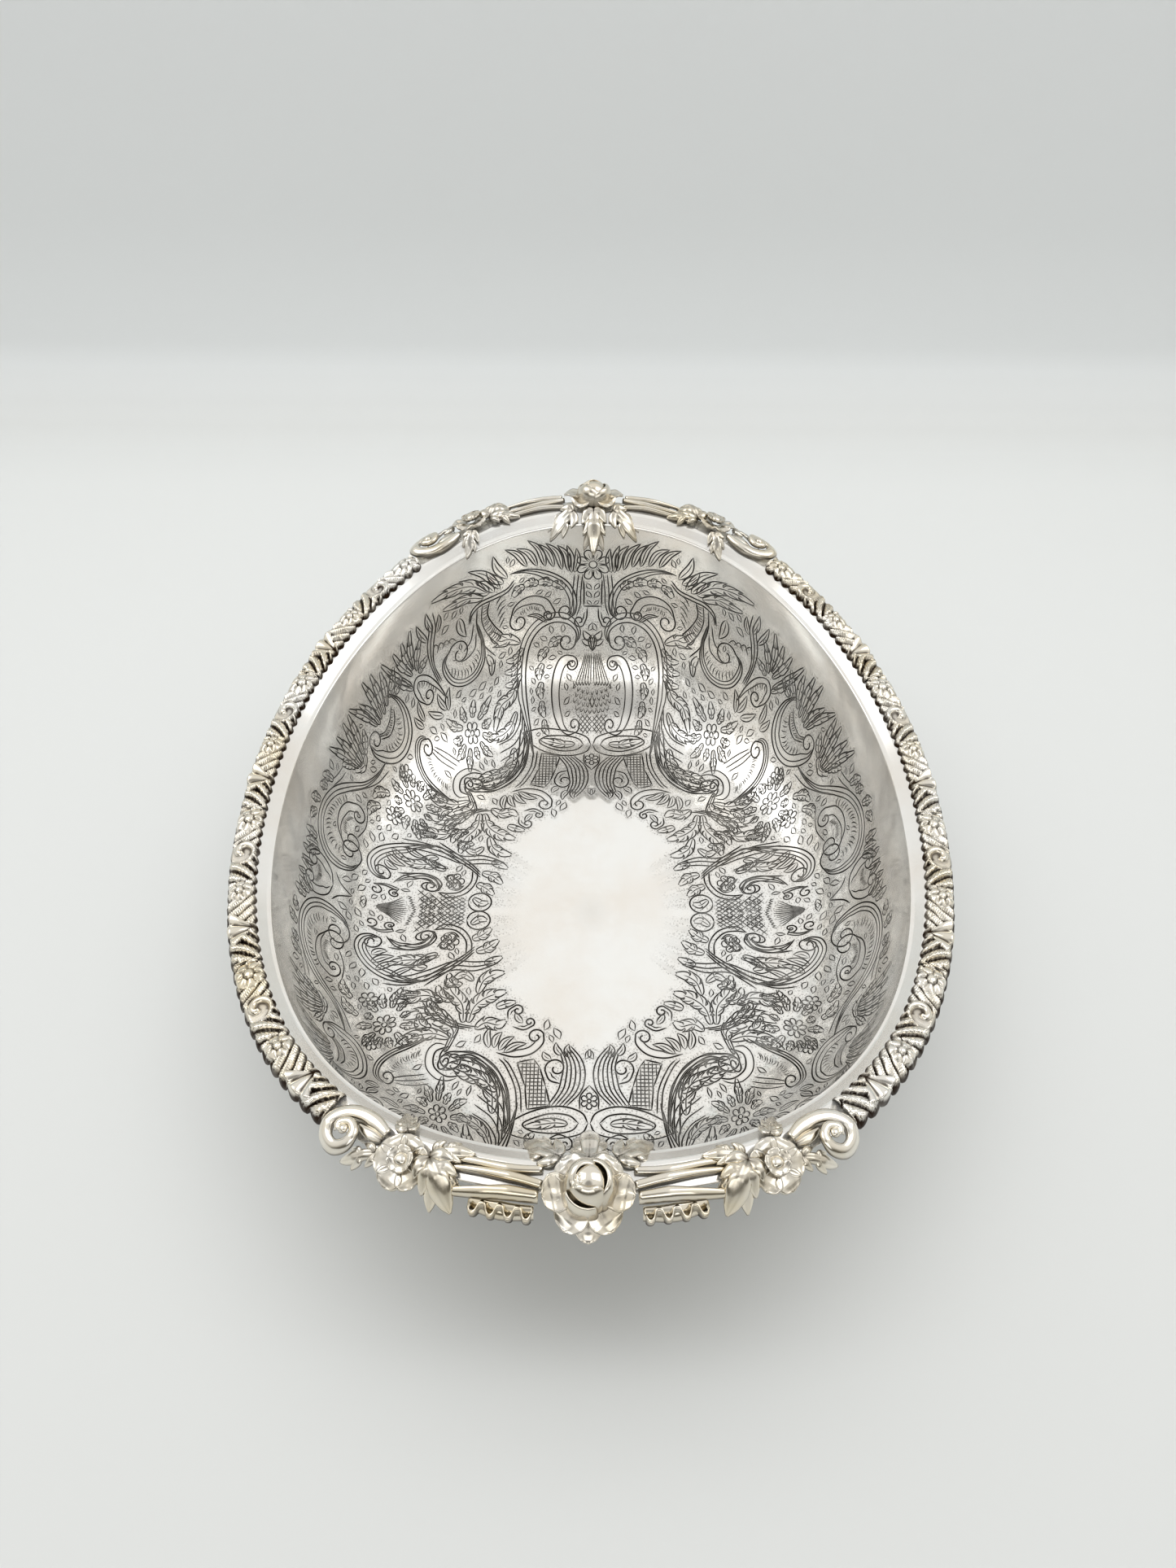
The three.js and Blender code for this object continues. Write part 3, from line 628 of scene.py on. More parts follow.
acanthus([(49, 53), (47, 46), (42, 41.5), (34.6, 38.8)], (0.8, 3, 3.2, 0.7), 5, **floor)
acanthus([(38, 46), (34.5, 44.6), (30.4, 43.6)], (1.2, 2, 0.5), 2, **floor)
acanthus([(51, 53), (52, 45), (57, 38.6), (58.4, 33)], (0.8, 2.8, 3, 0.7), 5, **floor)
acanthus([(54, 55), (60, 50), (68, 49), (75, 52)], (0.8, 2.6, 2.8, 0.7), 4, **floor)
acanthus([(56, 60), (63, 58), (70, 60), (76, 66)], (0.8, 2.6, 2.8, 0.7), 4, **floor)
acanthus([(60, 44), (66, 41), (73, 42), (80, 45)], (0.8, 2.6, 2.6, 0.7), 4, **floor)
acanthus([(46, 40), (44, 34), (40, 31), (35.8, 30)], (0.8, 2.4, 2.6, 0.6), 3, **floor)
acanthus([(48, 34), (52, 31), (56, 33)], (0.8, 2, 0.6), 2, **floor)
for shift in (0, 2.2, 4.2):
    chase([(40, 24.4 + shift / 2), (48, 25 + shift), (57, 24.8 + shift), (66, 28.6 + shift), (76, 32 + shift),
           (85, 32.6 + shift)], FURROW * 0.9, **floor)
acanthus([(44, 26), (40.4, 24.4), (37, 22.6)], (1.2, 2, 0.5), 2, **floor)
acanthus([(48, 20), (43.5, 18.4), (39, 14.4)], (1, 2.6, 0.6), 3, **floor)
acanthus([(50, 14), (46, 12), (42.4, 8.6)], (1, 2.6, 0.6), 3, **floor)
for shift in (0, 2.2):
    chase([(50 + shift, 22), (50.4 + shift, 15), (54.6 + shift, 9 + shift / 2), (62, 6.8 + shift),
           (66.6, 9.6)], **floor)
flower((59.6, 15.4), 4, 5, **floor)
scroll([(85, 19), (76, 19.4), (69.4, 17.4), (66, 13)], (69.6, 13), 1, 2.4, **floor)
acanthus([(64, 21), (70, 24), (78, 24.6), (84, 27)], (0.8, 2.4, 2.4, 0.6), 4, **floor)
oval_eye = [(48 + 5 * math.cos(t), 4.6 + 4.6 * math.sin(t)) for t in np.linspace(0, 2 * math.pi, 13)]
chase(oval_eye, **floor)
acanthus([(51, 6.6), (47.6, 4), (44.6, 4.6)], (0.8, 2, 0.6), 2, **floor)
diaper([(56, -0.5), (74, -0.5), (76, 12), (67, 8), (62, 4), (56, 4)], 2.4, (0.75, -0.75), **floor)

# ---- Chased pattern: the ground --------------------------------------------------------------
# What the motifs leave free is filled with small curved leaves, each three cuts of the punch.


def band_edge(length):
    """Depth at which the chased zone begins, under the plain band."""
    return np.interp(length, [0, 30, 45, 62, 90, 110, 170, 205, QUARTER], [13, 9, 10, 13, 22, 24, 25, 28, 31])


def drawn_tree():
    tree = KDTree(sum(len(line) for line, half in furrows))
    for index, spot in enumerate(np.abs(np.vstack([line for line, half in furrows]))):
        tree.insert(spot, index)
    tree.balance()
    return tree


def sprig(x, y, angle, size, place):
    """A small leaf bent to one side."""
    along = np.array([math.cos(angle), math.sin(angle)]) * size
    aside = np.array([-along[1], along[0]])
    root, tip = np.array([x, y]) - along, np.array([x, y]) + along + aside * 0.35
    spine = [(root + tip) / 2, root * 0.7 + tip * 0.3, root * 0.3 + tip * 0.7]
    bodies.extend((spot, size * 0.42) for spot in place(spine))
    chase([root, (root + tip) / 2 + aside * 0.62, tip], FURROW * 0.75, place)
    chase([root, (root + tip) / 2 - aside * 0.38, tip], FURROW * 0.75, place)
    if size > 1.6:
        chase([root + along * 0.4, (root + tip) / 2 + aside * 0.1], FINE * 0.9, place)


chooser = random.Random(7)
for clear, smallest in ((2.7, 2.2), (2.2, 1.7)):
    tree = drawn_tree()
    added = []
    spots = [(length, depth, wall_place) for length in np.arange(1.5, QUARTER, 2.1)
             for depth in np.arange(4, 104, 2.1) if depth > band_edge(length) + 2]
    spots += [(x, y, floor_place) for x in np.arange(1, 82, 2.1) for y in np.arange(1, 96, 2.1)
              if 1 > (x / 84) ** 2.2 + (y / 100) ** 2.2 > 0.33 + 0.05 * math.sin(9 * math.atan2(y, x))]
    chooser.shuffle(spots)
    for x, y, place in spots:
        spot = place([(x, y)])[0]
        if tree.find(np.abs(spot))[2] < clear:
            continue
        if any(np.linalg.norm(spot - other) < clear * 1.9 for other in added):
            continue
        if any(np.linalg.norm(spot - bare) < radius + 0.5 for bare, radius in plain_spots):
            continue
        added.append(spot)
        swirl = 1.5 * math.sin(x / 15) + 1.2 * math.cos(y / 11) + chooser.uniform(-0.5, 0.5)
        sprig(x, y, swirl, min(3.0, max(smallest, tree.find(np.abs(spot))[2] * 0.75)), place)

# ---- Bowl ------------------------------------------------------------------------------------
# The raised and planished sheet, 1.2 mm thick. Between the chased lines the metal stands up a
# little, because every blow beside a line pushes it there. It is silver plated and polished.


def linear(hex_colour):
    """An sRGB hex colour as linear RGBA."""
    parts = [int(hex_colour[i:i + 2], 16) / 255 for i in (1, 3, 5)]
    return [*(p / 12.92 if p <= 0.04045 else ((p + 0.055) / 1.055) ** 2.4 for p in parts), 1]


def add(tree, kind, links=(), **settings):
    """A node with its settings. links are (input, source node, output) and settings are
    properties of the node or constants on its sockets, with _ for a space."""
    node = tree.nodes.new(kind)
    for key, value in settings.items():
        if hasattr(node, key):
            setattr(node, key, value)
        else:
            node.inputs[int(key[1:]) if key[1:].isdigit() else key.replace("_", " ")].default_value = value
    for name, source, output in links:
        tree.links.new(source.outputs[output], node.inputs[name])
    return node


def ramp(tree, source, output, stops):
    """A colour ramp over a source's value, with (position, hex) stops."""
    node = add(tree, "ShaderNodeValToRGB", [("Fac", source, output)])
    for i, (position, colour) in enumerate(stops):
        stop = node.color_ramp.elements[i] if i < 2 else node.color_ramp.elements.new(position)
        stop.position = position
    for stop, (position, colour) in zip(node.color_ramp.elements, stops):
        stop.position, stop.color = position, linear(colour)
    return node


def silver_plate(name, clean, worn, tarnish_and_painted_shade, gloss, grain_mm, dent, metal):
    """Silver plate: a bright, slightly warm metal. Its film of tarnish is thin on what is rubbed
    and lies brown in what a cloth doesn't reach, which the attribute "hollow" marks. The same
    brown is also painted shade: the attribute darkens recesses, creases and under sides as shadow
    would, and the punched matting takes that colour too."""
    material = bpy.data.materials.new(name)
    material.use_nodes = True
    tree = material.node_tree
    tree.nodes.clear()
    place = add(tree, "ShaderNodeTexCoord")
    film = add(tree, "ShaderNodeTexNoise", [("Vector", place, "Object")],
               Scale=1000 / 42, Detail=5.0, Roughness=0.62)
    bloom = ramp(tree, film, "Fac", [(0.36, worn), (0.62, clean)])
    # Per-point darkness of each piece: tarnish, and painted shade in recesses, creases and under sides.
    low = add(tree, "ShaderNodeAttribute", attribute_name="tarnish_and_painted_shade")
    stain = add(tree, "ShaderNodeTexNoise", [("Vector", place, "Object")],
                Scale=1000 / 9, Detail=3.0)
    depth = add(tree, "ShaderNodeMath", [(0, low, "Fac"), (1, stain, "Fac")], operation="MULTIPLY_ADD")
    tree.links.new(low.outputs["Fac"], depth.inputs[2])
    half = add(tree, "ShaderNodeMath", [(0, depth, "Value")], operation="MULTIPLY", _1=0.66, use_clamp=True)
    ground = add(tree, "ShaderNodeAttribute", attribute_name="matted")
    punches = add(tree, "ShaderNodeTexVoronoi", [("Vector", place, "Object")], Scale=1000 / 0.95)
    dots = add(tree, "ShaderNodeMapRange", [("Value", punches, "Distance")], From_Min=0.28, From_Max=0.5,
               To_Min=0.5, To_Max=0.0)
    matting = add(tree, "ShaderNodeMath", [(0, ground, "Fac"), (1, dots, "Result")], operation="MULTIPLY")
    both = add(tree, "ShaderNodeMath", [(0, matting, "Value"), (1, half, "Value")], operation="MAXIMUM")
    # Towards the dark colour where there is matting, tarnish or painted shade.
    colour = add(tree, "ShaderNodeMix", [("Factor", both, "Value"), (6, bloom, "Color")],
                 data_type="RGBA", _7=linear(tarnish_and_painted_shade))
    rough = add(tree, "ShaderNodeMapRange", [("Value", half, "Value")], To_Min=gloss, To_Max=0.55)
    grain = add(tree, "ShaderNodeTexNoise", [("Vector", place, "Object")], Scale=1000 / grain_mm, Detail=4.0)
    bump = add(tree, "ShaderNodeBump", [("Height", grain, "Fac")], Strength=0.35, Distance=dent * MM)
    shader = add(tree, "ShaderNodeBsdfPrincipled",
                 [("Base Color", colour, "Result"), ("Roughness", rough, "Result"),
                  ("Normal", bump, "Normal")], Metallic=metal)
    add(tree, "ShaderNodeOutputMaterial", [("Surface", shader, "BSDF")])
    return material


def outward(points, faces):
    """A closed shell's faces, all turned round if they face inwards."""
    fans = np.vstack([faces[:, [0, k, k + 1]] for k in range(1, faces.shape[1] - 1)])
    corners = (points - points.mean(0))[fans]
    volume = (corners[:, 0] * np.cross(corners[:, 1], corners[:, 2])).sum()
    return faces if volume > 0 else faces[:, ::-1]


def mesh_piece(name, points, faces, tarnish_and_painted_shade, material, node):
    """A finished piece from points in millimetres, with how deep each lies, which darkens its colour for the
    tarnish and as painted shade.
    """
    mesh = bpy.data.meshes.new(name)
    mesh.vertices.add(len(points))
    mesh.vertices.foreach_set("co", (np.asarray(points) * MM).ravel())
    faces = np.asarray(faces)
    mesh.loops.add(faces.size)
    mesh.loops.foreach_set("vertex_index", faces.ravel())
    mesh.polygons.add(len(faces))
    mesh.polygons.foreach_set("loop_start", np.arange(0, faces.size, faces.shape[1]))
    mesh.update(calc_edges=True)
    mesh.shade_smooth()
    mark = mesh.attributes.new("tarnish_and_painted_shade", "FLOAT", "POINT")
    mark.data.foreach_set("value", np.asarray(tarnish_and_painted_shade, float))
    mesh.materials.append(material)
    piece = bpy.data.objects.new(name, mesh)
    bpy.context.scene.collection.objects.link(piece)
    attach(piece, "root")
    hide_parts(node)
    return piece


furrow_tree = drawn_tree()

AROUND = 560
INNER_ROWS = 128
PLAIN_OVAL = 0.545  # ring of the plain oval in the floor's middle
angles = np.linspace(0, 2 * math.pi, AROUND, endpoint=False)
rings = np.concatenate([[0.12, 0.25, 0.38], np.linspace(PLAIN_OVAL, 2, INNER_ROWS)])
inner = np.stack([bowl_at(angles, np.full(AROUND, ring)) for ring in rings])
found = [furrow_tree.find_n(np.abs(p), 6) for p in inner.reshape(-1, 3)]
nearest = np.array([near[0][2] for near in found]).reshape(inner.shape[:2])
crowding = np.array([near[-1][2] for near in found]).reshape(inner.shape[:2])
across = np.cross(np.gradient(inner, axis=0), np.roll(inner, -1, 1) - np.roll(inner, 1, 1))
across /= np.linalg.norm(across, axis=2)[:, :, None]
PILLOW = 0.1  # how far the metal stands up between lines
swell = PILLOW * (1 - np.exp(-(np.maximum(0, nearest - 0.6) / 1.3) ** 2)) * np.exp(-(nearest / 9) ** 2)
inner = inner + across * swell[:, :, None]
# Darker on and just beside each chased line: tarnish, and painted shade for a furrow that isn't cut into the
# sheet.
inner_tarnish_and_painted_shade = 0.16 * np.exp(-(nearest / 0.9) ** 2)
body_tree = KDTree(len(bodies))
for index, (spot, radius) in enumerate(bodies):
    body_tree.insert(np.abs(spot), index)
body_tree.balance()
radii = np.array([radius for spot, radius in bodies])
clear = np.array([min(gap - radii[index] for _, index, gap in body_tree.find_n(np.abs(p), 5))
                  for p in inner.reshape(-1, 3)]).reshape(inner.shape[:2])
inner_matted = np.clip(0.2 + clear / 0.9, 0, 1) * np.clip((3.0 - crowding) / 1.2, 0, 1)

flange_out = np.array([-FLANGE_IN + 0.02, -3.6, -2.2, -1, 0, 1, 2.5, 4.5, FLANGE_OUT - 0.5, FLANGE_OUT])
quarter_turn = np.interp(np.abs(np.arctan2(np.abs(np.sin(angles)), np.abs(np.cos(angles)))),
                         quarter_angles[::-1], quarter_lengths[::-1])
rim_length = np.where(np.sin(angles) >= -1e-9, quarter_turn, 2 * QUARTER - quarter_turn)
rim_length = np.where(np.cos(angles) >= 0, 1, -1) * rim_length


def rim_row(out, height):
    return on_rim(rim_length, np.full(AROUND, out), np.full(AROUND, height))


top_rows = [rim_row(out, 0.0) for out in flange_out]
under_rows = [rim_row(out, -SHEET) for out in flange_out[::-1][:-2:2]]
outer_rings = np.linspace(1.985, 1.0, 26)
outer = []
for ring in [*outer_rings, 0.75, 0.5, 0.25]:
    row = bowl_at(angles, np.full(AROUND, ring))
    lean = bowl_at(angles, np.full(AROUND, max(ring - 0.02, 0.0))) - row
    around = np.roll(row, -1, 0) - np.roll(row, 1, 0)
    push = np.cross(around, lean)
    push /= np.linalg.norm(push, axis=1)[:, None]
    push *= np.where(push[:, 2] > 0, -1, 1)[:, None]
    outer.append(row + push * SHEET)
rows = [*inner, *top_rows, *under_rows, *outer]
points = np.vstack([*rows, [[0, 0, FLOOR_Z]], [[0, 0, FLOOR_Z - SHEET]]])
count = len(rows)
quads = []
step = np.arange(AROUND)
following = (step + 1) % AROUND
for row in range(count - 1):
    quads.append(np.stack([row * AROUND + step, row * AROUND + following,
                           (row + 1) * AROUND + following, (row + 1) * AROUND + step], -1))
middle, under = count * AROUND, count * AROUND + 1
last = (count - 1) * AROUND
caps = np.vstack([np.stack([following, step, np.full(AROUND, middle)], -1),
                  np.stack([last + step, last + following, np.full(AROUND, under)], -1)])
quads = np.vstack(quads)
triangles = outward(points, np.vstack([quads[:, [0, 1, 2]], quads[:, [0, 2, 3]], caps]))
tarnish_and_painted_shade = np.concatenate([inner_tarnish_and_painted_shade.ravel(), np.full(len(points) - inner_tarnish_and_painted_shade.size, 0.08)])
# The dark colour #3f382b is tarnish and painted shade.
polished = silver_plate("silver plate, polished", "#f8f8f5", "#f3efe8", "#3f382b", 0.12, 1.4, 0.006, 0.74)
bowl = mesh_piece("bowl", points, triangles, tarnish_and_painted_shade, polished, "bowl_body")
mark = bowl.data.attributes.new("matted", "FLOAT", "POINT")
unmatted = np.zeros(len(points) - inner_matted.size)
mark.data.foreach_set("value", np.concatenate([inner_matted.ravel(), unmatted]))

# ---- Chased lines ----------------------------------------------------------------------------
# Each furrow's edges are rubbed brighter than its middle, where tarnish stays; the dark middle is
# also painted shade for the depth of a groove, as the furrow is drawn as a thin closed strip laid
# on the sheet, not cut into it. SECTION is its (half widths aside, mm of height).

SECTION = ((-1.02, -0.2), (-0.82, 0.06), (-0.66, 0.04), (0.66, 0.04), (0.82, 0.06), (1.02, -0.2))
# How dark each edge of the section is: the middle is tarnish and painted groove shade.
SECTION_TARNISH_AND_PAINTED_SHADE = (0.3, 0.3, 1.0, 1.0, 0.3, 0.3)


def furrow_rows(line, half):
    """Cross sections along a line: it tapers at both ends, as the punch is lifted."""
    along = np.gradient(line, axis=0)
    ring_here = np.abs(line[:, 2] - FLOOR_Z) < 0.01
    up = surface_up(line)
    up[ring_here] = (0, 0, 1)
    side = np.cross(along, up)
    side /= np.maximum(np.linalg.norm(side, axis=1), 1e-6)[:, None]
    taper = np.minimum(1, np.minimum(np.arange(len(line)), np.arange(len(line))[::-1]) / 2.5 + 0.3)
    rows = []
    for across_part, height in SECTION:
        rows.append(line + side * (half * across_part * taper)[:, None]
                    + up * (height * (0.5 + 0.5 * taper) * (half / FURROW) ** 0.5)[:, None])
    return np.stack(rows, 1)


def surface_up(line):
    """The bowl's inward normal under a point of it, by the nearest place of its mesh."""
    return np.array([normals[normal_tree.find(p)[1]] for p in line])


normal_tree = KDTree(inner.shape[0] * inner.shape[1])
for index, spot in enumerate(inner.reshape(-1, 3)):
    normal_tree.insert(spot, index)
normal_tree.balance()
normals = across.reshape(-1, 3)

profile_count = len(SECTION)
batches = [[]]
load = 0
for line, half in furrows:
    if len(line) < 3:
        continue
    section_rows = furrow_rows(line, half)
    size = (len(line) - 1) * profile_count * 2 + 2 * (profile_count - 2)
    if load + size > 49000:
        batches.append([])
        load = 0
    load += size
    batches[-1].append(section_rows)
# Its dark colour #1b1813 is tarnish and painted groove shade.
chased = silver_plate("silver plate, chased", "#f8f8f5", "#f0eadf", "#1b1813", 0.2, 1.0, 0.01, 0.8)
for number, batch in enumerate(batches, 1):
    points, faces, tarnish_and_painted_shade = [], [], []
    start = 0
    for mirror_x, mirror_y in ((1, 1), (-1, 1), (-1, -1), (1, -1)):
        for section_rows in batch:
            length = len(section_rows)
            spots = section_rows.reshape(-1, 3) * (mirror_x, mirror_y, 1)
            points.append(spots)
            tarnish_and_painted_shade.append(np.tile(SECTION_TARNISH_AND_PAINTED_SHADE, length))
            i = np.arange(length - 1)[:, None] * profile_count
            k = np.arange(profile_count)[None, :]
            n = (k + 1) % profile_count
            a, b = i + k, i + n
            c, d = b + profile_count, a + profile_count
            sides = np.stack([a, b, c, d], -1).reshape(-1, 4)
            tri = np.vstack([sides[:, [0, 1, 2]], sides[:, [0, 2, 3]]])
            head = np.array([[0, j + 1, j] for j in range(1, profile_count - 1)])
            tail = (length - 1) * profile_count + head[:, ::-1]
            faces.append(outward(spots, np.vstack([tri, head, tail])) + start)
            start += len(spots)
    mesh_piece(f"chased_lines_{number}", np.vstack(points), np.vstack(faces), np.concatenate(tarnish_and_painted_shade), chased,
               "bowl_body")

# ---- Foot ring -------------------------------------------------------------------------------
# A rolled and drawn collet of plated sheet, soldered under the floor, with a flared lip.

FOOT_WALL = 1.7
FOOT_LIP = 3.0
FOOT_TOP = FLOOR_Z - SHEET - 0.3
foot_profile = [(0, FOOT_TOP), (0.1, 6), (0.3, 3.6), (1.2, 2), (2.6, 1.4), (FOOT_LIP, 1.0), (FOOT_LIP, 0.3),
                (FOOT_LIP - 0.3, 0), (FOOT_LIP - 2.2, 0), (FOOT_LIP - 2.5, 0.3), (-0.9, 2.2), (-1.5, 4),
                (-FOOT_WALL, 6), (-FOOT_WALL, FOOT_TOP)]
foot_angles = np.linspace(0, 2 * math.pi, 360, endpoint=False)
foot_rows = []
for out, height in foot_profile:
    x, y = oval(foot_angles, FLOOR_X - 2 + out, FLOOR_Y - 2 + out)
    foot_rows.append(np.stack([x, y, np.full(360, height)], -1))
foot_points = np.vstack(foot_rows)
foot_faces = []
for row in range(len(foot_profile)):
    other = (row + 1) % len(foot_profile)
    step = np.arange(360)
    following = (step + 1) % 360
    foot_faces.append(np.stack([row * 360 + step, row * 360 + following, other * 360 + following,
                                other * 360 + step], -1))
mesh_piece("foot", foot_points, outward(foot_points, np.vstack(foot_faces)), np.full(len(foot_points), 0.15),
           polished, "foot_ring")

# ---- Cast mounts: making tools ---------------------------------------------------------------
# Every casting is a set of leaves, petals and reeds: curved sheets with their relief, each a
# closed shell, laid over the rim in (length along the rim, offset from its crest, height).

# The castings' brown #2f2115 is tarnish and painted shade in their recesses and under sides.
cast_silver = silver_plate("silver plate, cast", "#f6f3ec", "#e9dec6", "#2f2115", 0.14, 1.6, 0.02, 1.0)
FLANGE_GAP = 0.35


def shell(shape, along=24, over=10, thick=1.0):
    """A closed curved sheet. shape gives (length, out, height, hollow) for t in 0..1 and q in -1..1;
    the fourth is how dark the colour is there, for tarnish and painted shade.
    """
    t, q = np.meshgrid(np.linspace(0, 1, along), np.linspace(-1, 1, over), indexing="ij")
    length, out, height, tarnish_and_painted_shade = (np.broadcast_to(a, t.shape) for a in shape(t, q))
    top = np.stack([length, out, height, tarnish_and_painted_shade], -1).reshape(-1, 4)
    under = top.copy()
    under[:, 2] -= thick
    # The underside is darker: painted shade under the sheet.
    under[:, 3] += 0.3
    points = np.vstack([top, under])
    i, k = np.meshgrid(np.arange(along - 1), np.arange(over - 1), indexing="ij")
    a = (i * over + k).ravel()
    size = along * over
    upper = np.stack([a, a + 1, a + over + 1, a + over], -1)
    lower = np.stack([a, a + over, a + over + 1, a + 1], -1) + size
    edge = np.concatenate([np.arange(over), np.arange(1, along) * over + over - 1,
                           (along - 1) * over + np.arange(over - 1)[::-1],
                           np.arange(1, along - 1)[::-1] * over])
    after = np.roll(edge, -1)
    wall = np.stack([edge, edge + size, after + size, after], -1)
    return points, np.vstack([upper, lower, wall])


def spread(values, t):
    return np.interp(t, np.linspace(0, 1, len(values)), values)


def leaf(spine, widths, heights, lobes=0, crown=1.0, cut=0.22, vein=0.35, roll=0.0, along=0, over=11,
         thick=1.0):
    """A leaf or petal. crown lifts its midrib (negative for a cupped petal), cut is the depth of
    its lobes, vein the depth of the furrows between them, and roll turns its tip down."""
    line = smooth(spine, 0.4)
    steps = np.linspace(0, 1, len(line))
    normal = beside(line, np.ones(len(line))) - line

    def shape(t, q):
        half = spread(widths, t)
        if lobes:
            phase = (t * lobes) % 1
            half = half * (1 - cut + cut * 1.6 * phase)
        across_spine = q * half
        length = np.interp(t, steps, line[:, 0]) + np.interp(t, steps, normal[:, 0]) * across_spine
        out = np.interp(t, steps, line[:, 1]) + np.interp(t, steps, normal[:, 1]) * across_spine
        height = spread(heights, t) + crown * (1 - q ** 2) * np.minimum(1, half / max(widths))
        height = height - roll * np.maximum(0, t - 0.75) ** 2 * 16
        rib = np.exp(-(q / 0.12) ** 2)
        height = height - vein * 0.8 * rib * (1 - t)
        # Darker along the midrib towards the root, at the root and in the furrows: painted shade in creases,
        # with tarnish.
        tarnish_and_painted_shade = 0.55 * rib * (1 - t) + 0.5 * np.exp(-t / 0.16)
        if lobes:
            wave = 0.5 - 0.5 * np.cos(2 * math.pi * (t * lobes - 0.55 * np.abs(q)))
            height = height + vein * (wave - 0.5) * np.minimum(1, np.abs(q) * 3)
            tarnish_and_painted_shade = tarnish_and_painted_shade + 0.45 * (1 - wave) * np.minimum(1, np.abs(q) * 3)
        else:
            wave = 0.5 - 0.5 * np.cos(q * 9)
            height = height - vein * 0.4 * wave * t
            tarnish_and_painted_shade = tarnish_and_painted_shade + 0.2 * wave
        return length, out, height, np.minimum(1, tarnish_and_painted_shade)

    return shell(shape, along or max(14, lobes * 6 + 2), over, thick)


def petal(centre, angle, start, reach, width, heights, crown=-0.8, roll=0.0, over=9, along=11):
    """A petal that leaves its flower's centre at an angle, broad and rounded at the tip."""
    direction = np.array([math.cos(angle), math.sin(angle)])
    first, tip = np.asarray(centre) + direction * start, np.asarray(centre) + direction * reach
    share = np.linspace(0, 1, 40)
    swell = 0.35 + 0.65 * np.sin(math.pi / 2 * np.minimum(1, share / 0.65))
    widths = width * swell * np.sqrt(1 - np.clip((share - 0.6) / 0.402, 0, 1) ** 2)
    points, faces = leaf([first, (first + tip) / 2, tip], widths, heights, crown=crown, vein=0.3, roll=roll,
                         along=along, over=over, thick=0.8)
    return points, faces


def bar(path, widths, heights, depth=1.6, over=9, along=0):
    """A rounded reed or scroll band along a path."""
    line = smooth(path, 0.5)
    steps = np.linspace(0, 1, len(line))
    normal = beside(line, np.ones(len(line))) - line

    def shape(t, q):
        half = spread(widths, t)
        bend = np.sin(q * math.pi / 2)
        length = np.interp(t, steps, line[:, 0]) + np.interp(t, steps, normal[:, 0]) * half * bend
        out = np.interp(t, steps, line[:, 1]) + np.interp(t, steps, normal[:, 1]) * half * bend
        height = spread(heights, t) + np.cos(q * math.pi / 2) * np.minimum(half, depth)
        # Darker towards its sides, where it turns down to what lies under it: painted shade, with tarnish.
        return length, out, height, 0.55 * np.abs(q) ** 4

    return shell(shape, along or max(12, len(line) // 2), over, 0.9)


def boss(centre, radius, height, base=0.4):
    """A domed boss with a flat underside."""
    rings, around = 6, 14
    t, turn = np.meshgrid(np.linspace(0.17, 1, rings), np.arange(around) * 2 * math.pi / around,
                          indexing="ij")
    r = radius * np.sin(t * math.pi / 2)
    # Darker towards its rim and on its underside: painted shade, with tarnish.
    dome = np.stack([centre[0] + r * np.cos(turn), centre[1] + r * np.sin(turn),
                     base + height * np.cos(t * math.pi / 2), 0.6 * t ** 4], -1).reshape(-1, 4)
    points = np.vstack([dome, [[*centre, base + height, 0], [*centre, base, 1]]])
    top, bottom = len(dome), len(dome) + 1
    low, k = (a.ravel() for a in np.meshgrid(np.arange(rings - 1) * around, np.arange(around), indexing="ij"))
    n = (k + 1) % around
    step = np.arange(around)
    after = (step + 1) % around
    rim = (rings - 1) * around
    return points, np.vstack([np.stack([low + k, low + around + k, low + around + n], -1),
                              np.stack([low + k, low + around + n, low + n], -1),
                              np.stack([np.full(around, top), step, after], -1),
                              np.stack([rim + after, rim + step, np.full(around, bottom)], -1)])


def mirrored(parts):
    """The same shells for the other side of the end's axis."""
    flipped = []
    for points, faces in parts:
        points = points.copy()
        points[:, 0] *= -1
        flipped.append((points, faces[:, ::-1]))
    return flipped


def cast(name, parts, node):
    """One casting, laid over the rim, from its shells."""
    places, faces, tarnish_and_painted_shade, start = [], [], [], 0
    for shell_points, shell_faces in parts:
        places.append(on_rim(shell_points[:, 0], shell_points[:, 1], shell_points[:, 2] + FLANGE_GAP))
        fans = [shell_faces[:, [0, k, k + 1]] for k in range(1, shell_faces.shape[1] - 1)]
        faces.append(outward(places[-1], np.vstack(fans)) + start)
        tarnish_and_painted_shade.append(np.clip(shell_points[:, 3], 0, 1))
        start += len(shell_points)
    return mesh_piece(name, np.vstack(places), np.vstack(faces), np.concatenate(tarnish_and_painted_shade), cast_silver,
                      node)


def at_end(parts, end):
    """Shells drawn at the back end, moved to the end wanted: 1 for the back, -1 for the front."""
    if end > 0:
        return parts
    moved = []
    for points, faces in parts:
        points = points.copy()
        points[:, 0] = 2 * QUARTER - points[:, 0]
        moved.append((points, faces[:, ::-1]))
    return moved


# ---- Garland of the ends ---------------------------------------------------------------------
# Ten castings on each end's rim, soldered: a rose with three leaves, and on either side a pair
# of reeds, a ruffle, an acanthus leaf, a small flower, a leaf and a scroll.

ROSE = (0, 7.0)
BUD_RADIUS = 6.4
rose_parts = [boss(ROSE, BUD_RADIUS - 0.1, 7.0, base=3.8)]


